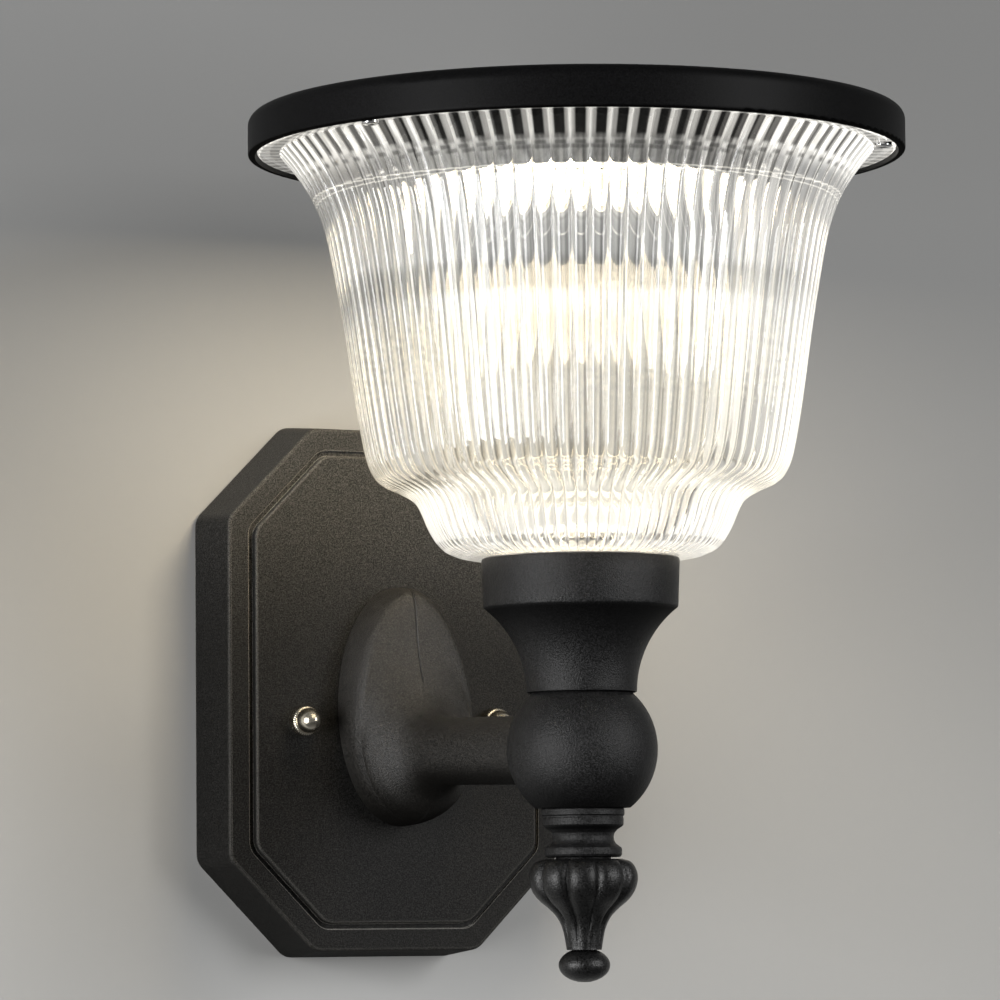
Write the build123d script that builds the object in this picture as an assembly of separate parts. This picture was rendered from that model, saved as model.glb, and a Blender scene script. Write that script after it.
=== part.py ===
from build123d import *
import math
import os

# Wall lamp with a solar cap, in millimetres.
# The origin is the middle of the wall bracket on the wall: +X right, -Y out of the wall, +Z up.
# Heights of the lamp head are measured from the middle of the ball.

# Driving sizes: wall side
plate_width = 120.0
plate_height = 170.4
plate_corner = 30.1
plate_corner_round = 6.5
plate_depth = 22.5
plate_draft = 2.0
plate_wall = 2.4
plate_lift = 10.6
plate_edge_round = 1.0
groove_margin = 7.1
groove_width = 1.8
groove_depth = 1.0
panel_rise = 1.7
panel_edge_round = 0.8
gasket_thick = 1.0
gasket_width = 4.5
gasket_inset = 0.6
bracket_end_gap = 12.0
bracket_height = 20.0
bracket_thick = 2.0
bracket_corner = 4.0
bracket_wire_hole = 5.0
wall_slot_spacing = 44.0
wall_slot_length = 12.0
wall_slot_radius = 2.4
stud_spacing = 70.0
stud_radius = 2.0
stud_hole_radius = 2.3
stud_past_panel = 6.6
stud_nut_flats = 7.0
stud_nut_thick = 3.2

# Driving sizes: thumb nuts
nut_ring_radius = 4.9
nut_ring_length = 3.8
nut_dome_radius = 4.1
nut_length = 9.6
nut_ring_edge = 0.4
nut_bore_past_stud = 0.6
nut_washer_radius = 4.5
nut_washer_thick = 0.8

# Driving sizes: arm and its root on the plate
arm_gasket_thick = 0.6
arm_gasket_inset = 0.9
root_half_width = 22.1
root_half_height = 39.1
root_drop = 5.5
root_pad_depth = 13.8
root_pad_round = 6.5
arm_drop_at_root = 20.1
arm_radius = 10.8
arm_wall = 3.0
arm_bore_radius = 5.5
arm_spigot_radius = 7.8
arm_post_radius = 4.2
arm_post_height = 25.0
arm_post_spread = 11.0
arm_post_low = 21.0
arm_screw_radius = 1.5
arm_screw_reach = 6.0
arm_screw_head_radius = 3.2
arm_screw_head_thick = 2.0

# Root sections: depth as a share of root_depth, low and high as shares of root_half_height,
# half width as a share of root_half_width
root_depth = 44.0
root_section_shares = [
    (0.07, -0.990, 0.434, 0.977),
    (0.18, -0.987, 0.434, 0.973),
    (0.32, -0.969, 0.408, 0.923),
    (0.42, -0.931, 0.229, 0.833),
    (0.51, -0.867, 0.060, 0.706),
    (0.60, -0.775, -0.047, 0.575),
    (0.70, -0.713, -0.099, 0.511),
]
root_join_share = 0.86

# Driving sizes: ball and clamp rod
axis_reach = 149.5
ball_drop = 13.0
ball_radius = 23.2
ball_wall = 3.2
ball_top = 17.3
ball_bottom = 18.0
ball_floor = 3.5
ball_mouth_radius = 11.0
ball_socket_radius = 11.2
ball_spot_distance = 20.3
ball_socket_end = 9.2
spigot_end_gap = 0.3
grub_screw_radius = 2.0
grub_screw_distance = 15.0
grub_screw_length = 8.6
rod_radius = 5.0
rod_bore_radius = 3.5
rod_past_nut = 1.4
rod_in_collar = 8.4

# Driving sizes: collar and finial
collar_radius = 12.7
collar_second_radius = 12.2
collar_step_height = 2.6
collar_block_height = 5.6
collar_waist_radius = 9.35
collar_ring_radius = 11.8
collar_ring_thick = 3.2
collar_height = 15.1
collar_edge = 0.5
finial_washer_thick = 0.6
finial_washer_radius = 8.5
finial_stud_radius = 3.0
finial_stud_length = 6.4
urn_radius = 17.05
urn_height = 27.5
urn_lobes = 10
urn_groove_turn = 6.0
urn_groove_share = 0.06
knob_radius = 7.9
knob_height = 10.0
knob_neck_radius = 5.3
knob_foot_radius = 4.4
# Urn sections: drop as a share of urn_height, radius as a share of urn_radius
urn_section_shares = [
    (0.0, 0.72),
    (0.030, 0.87),
    (0.095, 0.955),
    (0.200, 1.0),
    (0.330, 0.957),
    (0.440, 0.842),
    (0.555, 0.628),
    (0.650, 0.487),
    (0.785, 0.387),
    (1.0, 0.318),
]

# Driving sizes: cup under the shade
cup_top = 58.6
cup_radius = 30.6
cup_band_radius = 30.0
cup_band_height = 15.1
cup_flare_radius = 29.4
cup_flare_step = 0.5
cup_neck_radius = 17.0
cup_flare_arc = 33.0
cup_wall = 2.6
cup_web = 3.0
cup_foot_hole_radius = 10.5
cup_seat_depth = 3.6
seat_gasket_thick = 1.0
seat_gasket_width = 9.0

# Driving sizes: ribbed shade
shade_rib_count = 90
shade_rib_share = 0.0185
shade_wall = 2.0
shade_foot_gap = 0.4
shade_floor = 2.8
shade_top = 184.4
flange_overhang = 6.75
shade_floor_margin = 8.0
# Shade sections: height as a share of the ribbed height, radius as a share of shade_top_radius
shade_section_shares = [
    (0.0, 0.370),
    (0.010, 0.430),
    (0.035, 0.478),
    (0.127, 0.541),
    (0.150, 0.572),
    (0.181, 0.655),
    (0.205, 0.690),
    (0.260, 0.719),
    (0.573, 0.788),
    (0.768, 0.835),
    (0.875, 0.882),
    (0.940, 0.935),
    (1.0, 1.0),
]
# Rib corners: turn as a share of one rib, depth as a share of the full rib depth
shade_rib_corner_shares = [(0.0, 1.0), (0.26, 0.0), (0.74, 0.0)]
flange_gap = 0.7
flange_thick = 2.4
clamp_washer_radius = 14.0
clamp_washer_thick = 1.5
clamp_nut_flats = 14.0
clamp_nut_thick = 5.0
shade_screw_count = 3
shade_screw_turn = 81.5
shade_screw_inset = 3.45
shade_screw_hole = 1.7
shade_screw_radius = 1.45
shade_screw_length = 7.0
shade_screw_head_radius = 2.7
shade_screw_head_thick = 1.6
cross_slot_width = 0.7
cross_slot_length = 3.0
cross_slot_depth = 0.7

# Driving sizes: solar cap
cap_radius = 101.6
cap_height = 12.9
cap_low = 183.4
cap_wall = 2.15
cap_top_round = 3.6
cap_low_round = 0.9
cap_deck = 2.2
cap_boss_radius = 3.4
cap_gasket_thick = 1.0
cap_gasket_width = 2.8
cap_rim_width = 15.6
panel_gap = 0.2
panel_ledge = 6.0
panel_glass_thick = 1.65
panel_cell_thick = 0.25
panel_board_thick = 1.0
panel_gasket_thick = 0.6
panel_gasket_width = 4.6
cell_field_inset = 6.0
cell_strip_count = 8
cell_strip_gap = 0.6

# Driving sizes: light tray
tray_radius = 56.0
tray_wall = 1.8
tray_drop = 9.0
tray_recess = 3.5
tray_flange_gap = 0.4
tray_flange_thick = 1.5
tray_screw_count = 4
tray_screw_inset = 3.3
tray_screw_turn = 45.0
tray_screw_radius = 1.2
tray_screw_head_radius = 2.4
tray_screw_head_thick = 1.2
tray_screw_length = 4.2
tray_boss_radius = 2.6
led_board_gap = 2.2
led_board_thick = 1.6
led_chip_length = 3.5
led_chip_width = 2.8
led_chip_thick = 0.7
led_ring_shares = [0.308, 0.577, 0.846]
led_ring_counts = [8, 16, 24]
led_screw_circle_share = 0.7115
led_screw_count = 3
led_screw_radius = 1.1
led_screw_head_radius = 2.2
led_screw_head_thick = 1.0

# Driving sizes: battery, circuit and sensor; shares are of tray_radius
battery_length_share = 1.07
battery_width_share = 0.75
battery_thick = 8.6
battery_back_share = 0.295
battery_round = 3.0
battery_pad_thick = 0.6
clamp_bar_width = 9.0
clamp_bar_thick = 1.2
clamp_post_radius = 3.0
clamp_post_gap = 1.2
clamp_screw_radius = 1.0
clamp_screw_head_radius = 2.0
clamp_screw_head_thick = 1.0
clamp_screw_length = 5.0
circuit_length_share = 1.1
circuit_width_share = 0.34
circuit_thick = 1.6
circuit_front_share = 0.34
circuit_post_height = 2.4
circuit_post_radius = 2.4
circuit_post_inset = 3.4
circuit_screw_radius = 0.9
circuit_screw_head_radius = 1.7
circuit_screw_head_thick = 0.9
circuit_screw_length = 3.6
sensor_length_share = 0.36
sensor_width_share = 0.23
sensor_thick = 1.2
sensor_front_share = 0.73
sensor_pad_thick = 1.4
sensor_can_length = 11.0
sensor_can_width = 8.0
sensor_can_height = 2.4
pin_radius = 0.5
pin_spacing = 5.0
pin_head = 1.4
lead_radius = 0.6
lead_spacing = 3.0
lead_bend = 1.9
lead_rise = 2.6
lead_run = 9.0

# Driving sizes: mode button on the deck
button_inset = 8.4
button_radius = 3.3
button_gap = 0.2
button_proud = 1.0
button_flange_radius = 4.3
button_flange_thick = 0.9
button_flange_gap = 0.25
button_stem_radius = 1.2
button_travel = 0.8
button_edge = 0.5
switch_size = 6.0
switch_height = 2.2
plunger_radius = 1.4
plunger_gap = 0.1
plunger_proud = 0.9
plunger_sunk = 0.7
switch_board_length = 15.0
switch_board_width = 7.6
switch_board_thick = 1.0
switch_post_radius = 1.4

# Fits and cuts
thread_gap = 0.05
overrun = 1.0

# Places worked out from the sizes above
bracket_length = plate_width - 2 * bracket_end_gap
panel_face = plate_depth + panel_rise
arm_face = panel_face + arm_gasket_thick
root_centre = plate_lift - root_drop
arm_root_height = plate_lift - arm_drop_at_root
nut_washer_face = panel_face + nut_washer_thick
stud_end = panel_face + stud_past_panel
collar_top = -ball_bottom
collar_low = collar_top - collar_height
urn_top = collar_low - finial_washer_thick
urn_low = urn_top - urn_height
cup_web_top = cup_top - cup_seat_depth
shade_foot_low = cup_web_top + seat_gasket_thick
shade_floor_top = shade_foot_low + shade_floor
shade_height = shade_top - cup_top
flange_low = shade_top
flange_top = flange_low + flange_thick
clamp_nut_low = shade_floor_top + clamp_washer_thick
rod_top = clamp_nut_low + clamp_nut_thick + rod_past_nut
rod_low = collar_top - rod_in_collar
cap_top = cap_low + cap_height
deck_low = cap_top - cap_deck
cap_inner_radius = cap_radius - cap_wall
flange_radius = cap_inner_radius - flange_gap
shade_top_radius = flange_radius - flange_overhang
shade_screw_circle = flange_radius - shade_screw_inset
panel_radius = cap_radius - cap_rim_width
cell_field_radius = panel_radius - cell_field_inset
button_circle = cap_radius - button_inset
cap_gasket_top = flange_top + cap_gasket_thick
panel_stack = panel_glass_thick + panel_cell_thick + panel_board_thick + panel_gasket_thick
ledge_top = cap_top - panel_stack
ledge_low = ledge_top - cap_deck
ledge_inner = panel_radius - panel_ledge
riser_inner = panel_radius + panel_gap
riser_outer = riser_inner + cap_deck
tray_flange_radius = riser_outer - tray_flange_gap
tray_screw_circle = ledge_inner + tray_screw_inset
tray_low = cap_low - tray_drop
tray_floor_low = tray_low + tray_recess
tray_floor_top = tray_floor_low + tray_wall
led_board_radius = tray_radius - tray_wall - led_board_gap
led_ring_radii = [share * led_board_radius for share in led_ring_shares]
led_screw_circle = led_screw_circle_share * led_board_radius
tray_flange_top = ledge_low
tray_flange_low = tray_flange_top - tray_flange_thick
board_low = tray_floor_low - led_board_thick
battery_length = battery_length_share * tray_radius
battery_width = battery_width_share * tray_radius
battery_back = battery_back_share * tray_radius
circuit_length = circuit_length_share * tray_radius
circuit_width = circuit_width_share * tray_radius
circuit_front = circuit_front_share * tray_radius
sensor_length = sensor_length_share * tray_radius
sensor_width = sensor_width_share * tray_radius
sensor_front = sensor_front_share * tray_radius
battery_low = tray_floor_top + battery_pad_thick
battery_top = battery_low + battery_thick
circuit_low = tray_floor_top + circuit_post_height
circuit_top = circuit_low + circuit_thick
head_place = Pos(0, -axis_reach, -ball_drop)


def disc(radius, low, high):
    return Pos(0, 0, (low + high) / 2) * Cylinder(radius, high - low)


def ring(outer, inner, low, high):
    return disc(outer, low, high) - disc(inner, low - overrun, high + overrun)


def rod(radius, near, far):
    return Pos(0, -(near + far) / 2, 0) * Rot(90, 0, 0) * Cylinder(radius, far - near)


def block(length, width, low, high):
    return Pos(0, 0, (low + high) / 2) * Box(length, width, high - low)


def turned(outline):
    return revolve(Plane.XZ * make_face(outline), Axis.Z)


def circle_spots(radius, count, first_turn=0.0):
    spots = []
    for index in range(count):
        turn = math.radians(first_turn + 360 * index / count)
        spots.append(Pos(radius * math.cos(turn), radius * math.sin(turn), 0))
    return spots


def grouped(pieces):
    return Compound(children=[piece.solid() for piece in pieces])


# Octagon of the plate, grown or shrunk on every side by one amount
def octagon_wire(depth, grow):
    half_width = plate_width / 2 + grow
    half_height = plate_height / 2 + grow
    corner = plate_corner + grow * (2 - math.sqrt(2))
    spots = [
        (half_width, half_height - corner),
        (half_width - corner, half_height),
        (corner - half_width, half_height),
        (-half_width, half_height - corner),
        (-half_width, corner - half_height),
        (corner - half_width, -half_height),
        (half_width - corner, -half_height),
        (half_width, corner - half_height),
    ]
    points = [Vector(x, -depth, z + plate_lift) for x, z in spots]
    wire = Wire(Polyline(points, close=True).edges())
    return wire.fillet_2d(plate_corner_round, wire.vertices())


def octagon_slab(near, far, near_grow, far_grow):
    return Solid.make_loft([octagon_wire(near, near_grow), octagon_wire(far, far_grow)], True)


# Wall bracket, its studs and lock nuts
def wall_bracket():
    bar = Pos(0, -bracket_thick / 2, 0) * Box(bracket_length, bracket_thick, bracket_height)
    bar = fillet(bar.edges().filter_by(Axis.Y), bracket_corner)
    bar = bar - rod(bracket_wire_hole, -overrun, bracket_thick + overrun)
    for side in (-1, 1):
        stud_hole = rod(stud_radius + thread_gap, -overrun, bracket_thick + overrun)
        bar = bar - Pos(side * stud_spacing / 2, 0, 0) * stud_hole
        slot = Plane.XZ * SlotOverall(wall_slot_length, 2 * wall_slot_radius)
        cut = extrude(slot, bracket_thick + overrun, both=True)
        bar = bar - Pos(side * wall_slot_spacing / 2, 0, 0) * cut
    return bar


def bracket_studs():
    stud = rod(stud_radius, 0, stud_end)
    return grouped([Pos(side * stud_spacing / 2, 0, 0) * stud for side in (-1, 1)])


def stud_nuts():
    hexagon = RegularPolygon(stud_nut_flats / 2, 6, major_radius=False)
    nut = extrude(Plane.XZ * hexagon, stud_nut_thick)
    nut = nut - rod(stud_radius + thread_gap, -overrun, stud_nut_thick + overrun)
    nut = Pos(0, -bracket_thick, 0) * nut
    return grouped([Pos(side * stud_spacing / 2, 0, 0) * nut for side in (-1, 1)])


# Eight-sided cover plate with a raised panel inside a groove
def backplate():
    body = octagon_slab(gasket_thick, plate_depth, plate_draft, 0)
    body = fillet(body.faces().sort_by(Axis.Y)[0].edges(), plate_edge_round)
    panel_margin = groove_margin + groove_width
    groove_floor = plate_depth - groove_depth
    body = body - octagon_slab(groove_floor, plate_depth + overrun, -groove_margin, -groove_margin)
    panel = octagon_slab(groove_floor - plate_edge_round, panel_face, -panel_margin, -panel_margin)
    panel = fillet(panel.faces().sort_by(Axis.Y)[0].edges(), panel_edge_round)
    body = body + panel
    rim_hollow = octagon_slab(
        gasket_thick - overrun, plate_depth - plate_wall, plate_draft - plate_wall, -plate_wall
    )
    panel_hollow = octagon_slab(
        gasket_thick, panel_face - plate_wall, -panel_margin - plate_wall, -panel_margin - plate_wall
    )
    body = body - rim_hollow - panel_hollow
    for side in (-1, 1):
        hole = rod(stud_hole_radius, plate_depth - plate_wall - overrun, panel_face + overrun)
        body = body - Pos(side * stud_spacing / 2, 0, 0) * hole
    for spot in arm_screw_spots():
        hole = rod(arm_screw_radius + thread_gap, plate_depth - plate_wall - overrun, panel_face + overrun)
        body = body - spot * hole
    return body


def backplate_gasket():
    outer = octagon_slab(0, gasket_thick, plate_draft - gasket_inset, plate_draft - gasket_inset)
    inner_grow = plate_draft - gasket_inset - gasket_width
    inner = octagon_slab(-overrun, gasket_thick + overrun, inner_grow, inner_grow)
    return outer - inner


# Domed thumb nut and its washer, on one stud
def thumb_nut():
    dome_rise = nut_length - nut_ring_length
    knurled = rod(nut_ring_radius, 0, nut_ring_length)
    knurled = chamfer(knurled.edges(), nut_ring_edge)
    dome = scale(Sphere(nut_dome_radius), (1, dome_rise / nut_dome_radius, 1))
    dome = Pos(0, -nut_ring_length, 0) * dome
    dome = dome & rod(nut_ring_radius, nut_ring_length - overrun, nut_length + overrun)
    bore_depth = stud_past_panel - nut_washer_thick + nut_bore_past_stud
    nut = knurled + dome - rod(stud_radius + thread_gap, -overrun, bore_depth)
    return Pos(0, -nut_washer_face, 0) * nut


def nut_washer():
    washer = rod(nut_washer_radius, panel_face, nut_washer_face)
    return washer - rod(stud_radius + thread_gap, panel_face - overrun, nut_washer_face + overrun)


# Arm with its root, one casting: an egg-shaped pad that swells at its foot into the arm
def arm_direction():
    start = Vector(0, -arm_face, arm_root_height)
    end = Vector(0, -axis_reach, -ball_drop)
    return (end - start).normalized()


def along_arm(distance_from_ball):
    centre = Vector(0, -axis_reach, -ball_drop) - arm_direction() * distance_from_ball
    return Plane(origin=centre, x_dir=(1, 0, 0), z_dir=arm_direction())


def arm_length():
    return (Vector(0, -axis_reach, -ball_drop) - Vector(0, -arm_face, arm_root_height)).length


def arm_rod(radius, from_ball, to_ball):
    return Solid.make_cylinder(radius, from_ball - to_ball, along_arm(from_ball))


def root_trunk(shrink, past_back):
    sections = list(root_section_shares)
    if past_back > 0:
        sections.insert(0, (-past_back / root_depth,) + sections[0][1:])
    wires = []
    for depth_share, low_share, high_share, width_share in sections:
        low = low_share * root_half_height + shrink
        high = high_share * root_half_height - shrink
        half_width = width_share * root_half_width - shrink
        centre = Vector(0, -arm_face - depth_share * root_depth, root_centre + (low + high) / 2)
        plane = Plane(origin=centre, x_dir=(1, 0, 0), z_dir=(0, -1, 0))
        half_height = (high - low) / 2
        if half_width >= half_height:
            edge = Edge.make_ellipse(half_width, half_height, plane)
        else:
            upright = Plane(origin=centre, x_dir=(0, 0, 1), z_dir=(0, -1, 0))
            edge = Edge.make_ellipse(half_height, half_width, upright)
        wires.append(Wire([edge]))
    for share in (root_join_share, 1):
        plane = along_arm(arm_length() - share * root_depth)
        upright = Plane(origin=plane.origin, x_dir=plane.y_dir * -1, z_dir=plane.z_dir)
        wires.append(Wire([Edge.make_circle(arm_radius - shrink, upright)]))
    return Solid.make_loft(wires)


def root_pad():
    outline = Plane.XZ * Ellipse(root_half_width, root_half_height)
    pad = Pos(0, -arm_face, root_centre) * extrude(outline, root_pad_depth)
    return fillet(pad.edges().sort_by(Axis.Y)[0], root_pad_round)


def arm_screw_spots():
    low = root_centre - arm_post_low
    return [
        Pos(0, 0, root_centre + arm_post_height),
        Pos(-arm_post_spread, 0, low),
        Pos(arm_post_spread, 0, low),
    ]


def arm():
    trunk = root_trunk(0, 0) + arm_rod(arm_radius, arm_length() - root_depth, ball_spot_distance)
    outer = root_pad() + trunk
    outer = outer + arm_rod(arm_spigot_radius, ball_spot_distance + overrun, ball_socket_end + spigot_end_gap)
    hollow = root_trunk(arm_wall, overrun)
    for spot in arm_screw_spots():
        hollow = hollow - spot * rod(arm_post_radius, arm_face - 2 * overrun, arm_face + root_depth)
    body = outer - hollow - arm_rod(arm_bore_radius, arm_length() - root_depth / 2, ball_socket_end - overrun)
    for spot in arm_screw_spots():
        hole = rod(arm_screw_radius + thread_gap, arm_face - overrun, arm_face + arm_screw_reach)
        body = body - spot * hole
    return body.solid()


def arm_gasket():
    ratio = (root_half_height - arm_gasket_inset) / (root_half_width - arm_gasket_inset)
    disc_round = rod(root_half_width - arm_gasket_inset, panel_face, arm_face)
    sheet = Pos(0, 0, root_centre) * scale(disc_round, (1, 1, ratio))
    for spot in arm_screw_spots():
        sheet = sheet - spot * rod(arm_screw_radius + thread_gap, panel_face - overrun, arm_face + overrun)
    return sheet


def arm_screws():
    head_near = panel_face - plate_wall - arm_screw_head_thick
    screws = []
    for spot in arm_screw_spots():
        head = rod(arm_screw_head_radius, head_near, panel_face - plate_wall)
        shank = rod(arm_screw_radius, head_near, arm_face + arm_screw_reach - arm_gasket_thick)
        screws.append(spot * (head + shank))
    return grouped(screws)


# Hollow ball that takes the arm's spigot and the clamp rod
def ball_housing():
    ball = Sphere(ball_radius) & disc(ball_radius + overrun, -ball_bottom, ball_top)
    hollow_low = ball_floor - ball_bottom
    hollow = Sphere(ball_radius - ball_wall) & disc(ball_radius, hollow_low, ball_radius)
    hollow = hollow + disc(ball_mouth_radius, 0, ball_top + overrun)
    hollow = Pos(0, -axis_reach, -ball_drop) * hollow
    hollow = hollow - arm_rod(ball_socket_radius, ball_radius, ball_socket_end)
    ball = Pos(0, -axis_reach, -ball_drop) * ball
    ball = ball - hollow
    ball = ball - arm_rod(ball_radius, ball_radius + overrun, ball_spot_distance)
    ball = ball - arm_rod(arm_spigot_radius + thread_gap, ball_radius, ball_socket_end - overrun)
    ball = ball - Pos(0, -axis_reach, -ball_drop) * disc(rod_radius + thread_gap, -ball_radius, 0)
    return ball - grub_screw_hole()


def grub_plane():
    sideways = along_arm(grub_screw_distance)
    return Plane(origin=sideways.origin, x_dir=(1, 0, 0), z_dir=sideways.y_dir * grub_side())


def grub_side():
    return 1 if along_arm(grub_screw_distance).y_dir.Z < 0 else -1


def grub_screw_hole():
    plane = grub_plane()
    start = plane.origin + plane.z_dir * arm_spigot_radius
    cut_plane = Plane(origin=start, x_dir=(1, 0, 0), z_dir=plane.z_dir)
    return Solid.make_cylinder(grub_screw_radius + thread_gap, ball_radius, cut_plane)


def ball_grub_screw():
    plane = grub_plane()
    start = plane.origin + plane.z_dir * arm_spigot_radius
    screw_plane = Plane(origin=start, x_dir=(1, 0, 0), z_dir=plane.z_dir)
    screw = Solid.make_cylinder(grub_screw_radius, grub_screw_length, screw_plane)
    tip = Vector(start + plane.z_dir * (grub_screw_length - grub_screw_radius))
    key_plane = Plane(origin=tip, x_dir=(1, 0, 0), z_dir=plane.z_dir)
    key = extrude(key_plane * RegularPolygon(grub_screw_radius / 2, 6), 2 * grub_screw_radius)
    return screw - key


def clamp_rod():
    return ring(rod_radius, rod_bore_radius, rod_low, rod_top)


# Stepped collar between ball and finial
def finial_collar():
    block_low = collar_top - collar_block_height
    ring_top = collar_low + collar_ring_thick
    waist = (block_low + ring_top) / 2
    step = collar_top - collar_step_height
    outline = Polyline(
        (0, collar_top),
        (collar_radius - collar_edge, collar_top),
        (collar_radius, collar_top - collar_edge),
        (collar_radius, step),
        (collar_second_radius, step - collar_edge),
        (collar_second_radius, block_low),
    )
    inward = ThreePointArc(
        (collar_second_radius, block_low),
        (collar_waist_radius, waist),
        (collar_ring_radius - collar_edge, ring_top),
    )
    foot = Polyline(
        (collar_ring_radius - collar_edge, ring_top),
        (collar_ring_radius, ring_top - collar_edge),
        (collar_ring_radius, collar_low + collar_edge),
        (collar_ring_radius - collar_edge, collar_low),
        (0, collar_low),
        (0, collar_top),
    )
    body = turned(outline + inward + foot)
    body = body - disc(rod_radius + thread_gap, rod_low - thread_gap, collar_top + overrun)
    return body - disc(finial_stud_radius + thread_gap, collar_low - overrun, collar_top)


def finial_washer():
    return ring(finial_washer_radius, finial_stud_radius + thread_gap, urn_top, collar_low)


def lobed_wire(radius, height):
    edges = []
    for index in range(urn_lobes):
        places = []
        for share, reach in ((0.0, 1 - urn_groove_share), (0.5, 1.0), (1.0, 1 - urn_groove_share)):
            turn = math.radians(urn_groove_turn + 360 * (index + share) / urn_lobes)
            places.append(Vector(radius * reach * math.cos(turn), radius * reach * math.sin(turn), height))
        edges.append(Edge.make_three_point_arc(*places))
    return Wire(edges)


def finial():
    wires = [
        lobed_wire(radius_share * urn_radius, urn_top - drop_share * urn_height)
        for drop_share, radius_share in urn_section_shares
    ]
    urn = Solid.make_loft(wires)
    knob_low = urn_low - knob_height
    side = ThreePointArc(
        (knob_neck_radius, urn_low), (knob_radius, urn_low - knob_height / 2), (knob_foot_radius, knob_low)
    )
    inside = Polyline((knob_foot_radius, knob_low), (0, knob_low), (0, urn_low), (knob_neck_radius, urn_low))
    knob = turned(side + inside)
    stud_top = urn_top + finial_washer_thick + finial_stud_length
    stud = disc(finial_stud_radius, urn_top - finial_stud_radius, stud_top)
    return urn + knob + stud


# Trumpet cup that carries the shade
def lamp_cup():
    band_low = cup_top - cup_band_height
    flare_low = ball_top
    flare_top = band_low - cup_flare_step
    arc_centre = cup_neck_radius + cup_flare_arc
    middle = (flare_low + flare_top) / 2
    middle_radius = arc_centre - math.sqrt(cup_flare_arc**2 - (middle - flare_low) ** 2)
    side = ThreePointArc((cup_neck_radius, flare_low), (middle_radius, middle), (cup_flare_radius, flare_top))
    rest = Polyline(
        (cup_flare_radius, flare_top),
        (cup_band_radius, band_low),
        (cup_radius, cup_top),
        (0, cup_top),
        (0, flare_low),
        (cup_neck_radius, flare_low),
    )
    body = turned(side + rest)
    inner_low = flare_low + cup_web
    inner_top = cup_web_top - cup_web
    inner_side = ThreePointArc(
        (cup_neck_radius - cup_wall, inner_low),
        (middle_radius - cup_wall, middle + cup_wall / 2),
        (cup_flare_radius - cup_wall, band_low),
    )
    inner_rest = Polyline(
        (cup_flare_radius - cup_wall, band_low),
        (cup_flare_radius - cup_wall, inner_top),
        (0, inner_top),
        (0, inner_low),
        (cup_neck_radius - cup_wall, inner_low),
    )
    body = body - turned(inner_side + inner_rest)
    body = body - disc(cup_foot_hole_radius, flare_low - overrun, inner_low + overrun)
    body = body - disc(cup_radius - cup_wall, cup_web_top, cup_top + overrun)
    return body - disc(rod_radius + thread_gap, inner_top - overrun, cup_web_top + overrun)


def shade_seat_gasket():
    outer = cup_radius - cup_wall - shade_foot_gap
    return ring(outer, outer - seat_gasket_width, cup_web_top, shade_foot_low)


# Ribbed clear shade with a screw flange on top and a foot that sits in the cup
def shade_points():
    return [
        (radius * shade_top_radius, cup_top + height * shade_height)
        for height, radius in shade_section_shares
    ]


def ribbed_wire(radius, height):
    points = []
    for index in range(shade_rib_count):
        for turn_share, depth_share in shade_rib_corner_shares:
            turn = 2 * math.pi * (index + turn_share) / shade_rib_count
            reach = radius * (1 - shade_rib_share * depth_share)
            points.append(Vector(reach * math.cos(turn), reach * math.sin(turn), height))
    return Wire(Polyline(points, close=True).edges())


def shade():
    wires = [ribbed_wire(radius, height) for radius, height in shade_points()]
    body = Solid.make_loft(wires, True)
    body = body + disc(flange_radius, flange_low, flange_top)
    foot_radius = cup_radius - cup_wall - shade_foot_gap
    body = body + disc(foot_radius, shade_foot_low, cup_top + overrun)
    inner = [(0, shade_floor_top), (clamp_washer_radius + shade_floor_margin, shade_floor_top)]
    for radius, height in shade_points()[1:]:
        inner_radius = radius * (1 - shade_rib_share) - shade_wall
        inner.append((inner_radius, height + shade_wall))
    mouth_radius = inner[-1][0]
    inner.append((mouth_radius, flange_top + overrun + shade_wall))
    inner.append((0, flange_top + overrun + shade_wall))
    body = body - turned(Polyline(inner, close=True))
    for spot in shade_screw_spots():
        body = body - spot * disc(shade_screw_hole, flange_low - overrun, flange_top + overrun)
    return body - disc(rod_radius + thread_gap, shade_foot_low - overrun, shade_floor_top + overrun)


def shade_clamp_washer():
    return ring(clamp_washer_radius, rod_radius + thread_gap, shade_floor_top, clamp_nut_low)


def shade_clamp_nut():
    hexagon = RegularPolygon(clamp_nut_flats / 2, 6, major_radius=False)
    nut = Pos(0, 0, clamp_nut_low) * extrude(hexagon, clamp_nut_thick)
    return nut - disc(rod_radius + thread_gap, clamp_nut_low - overrun, rod_top)


def shade_screw_spots():
    return circle_spots(shade_screw_circle, shade_screw_count, shade_screw_turn)


def cross_slots(height):
    one = block(cross_slot_length, cross_slot_width, height - overrun, height + cross_slot_depth)
    return one + Rot(0, 0, 90) * one


def shade_screws():
    head = disc(shade_screw_head_radius, flange_low - shade_screw_head_thick, flange_low)
    head = fillet(head.edges().sort_by(Axis.Z)[0], shade_screw_head_thick / 2)
    shank = disc(shade_screw_radius, flange_low - shade_screw_head_thick / 2, flange_low + shade_screw_length)
    screw = head + shank - cross_slots(flange_low - shade_screw_head_thick)
    return grouped([spot * screw for spot in shade_screw_spots()])


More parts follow.
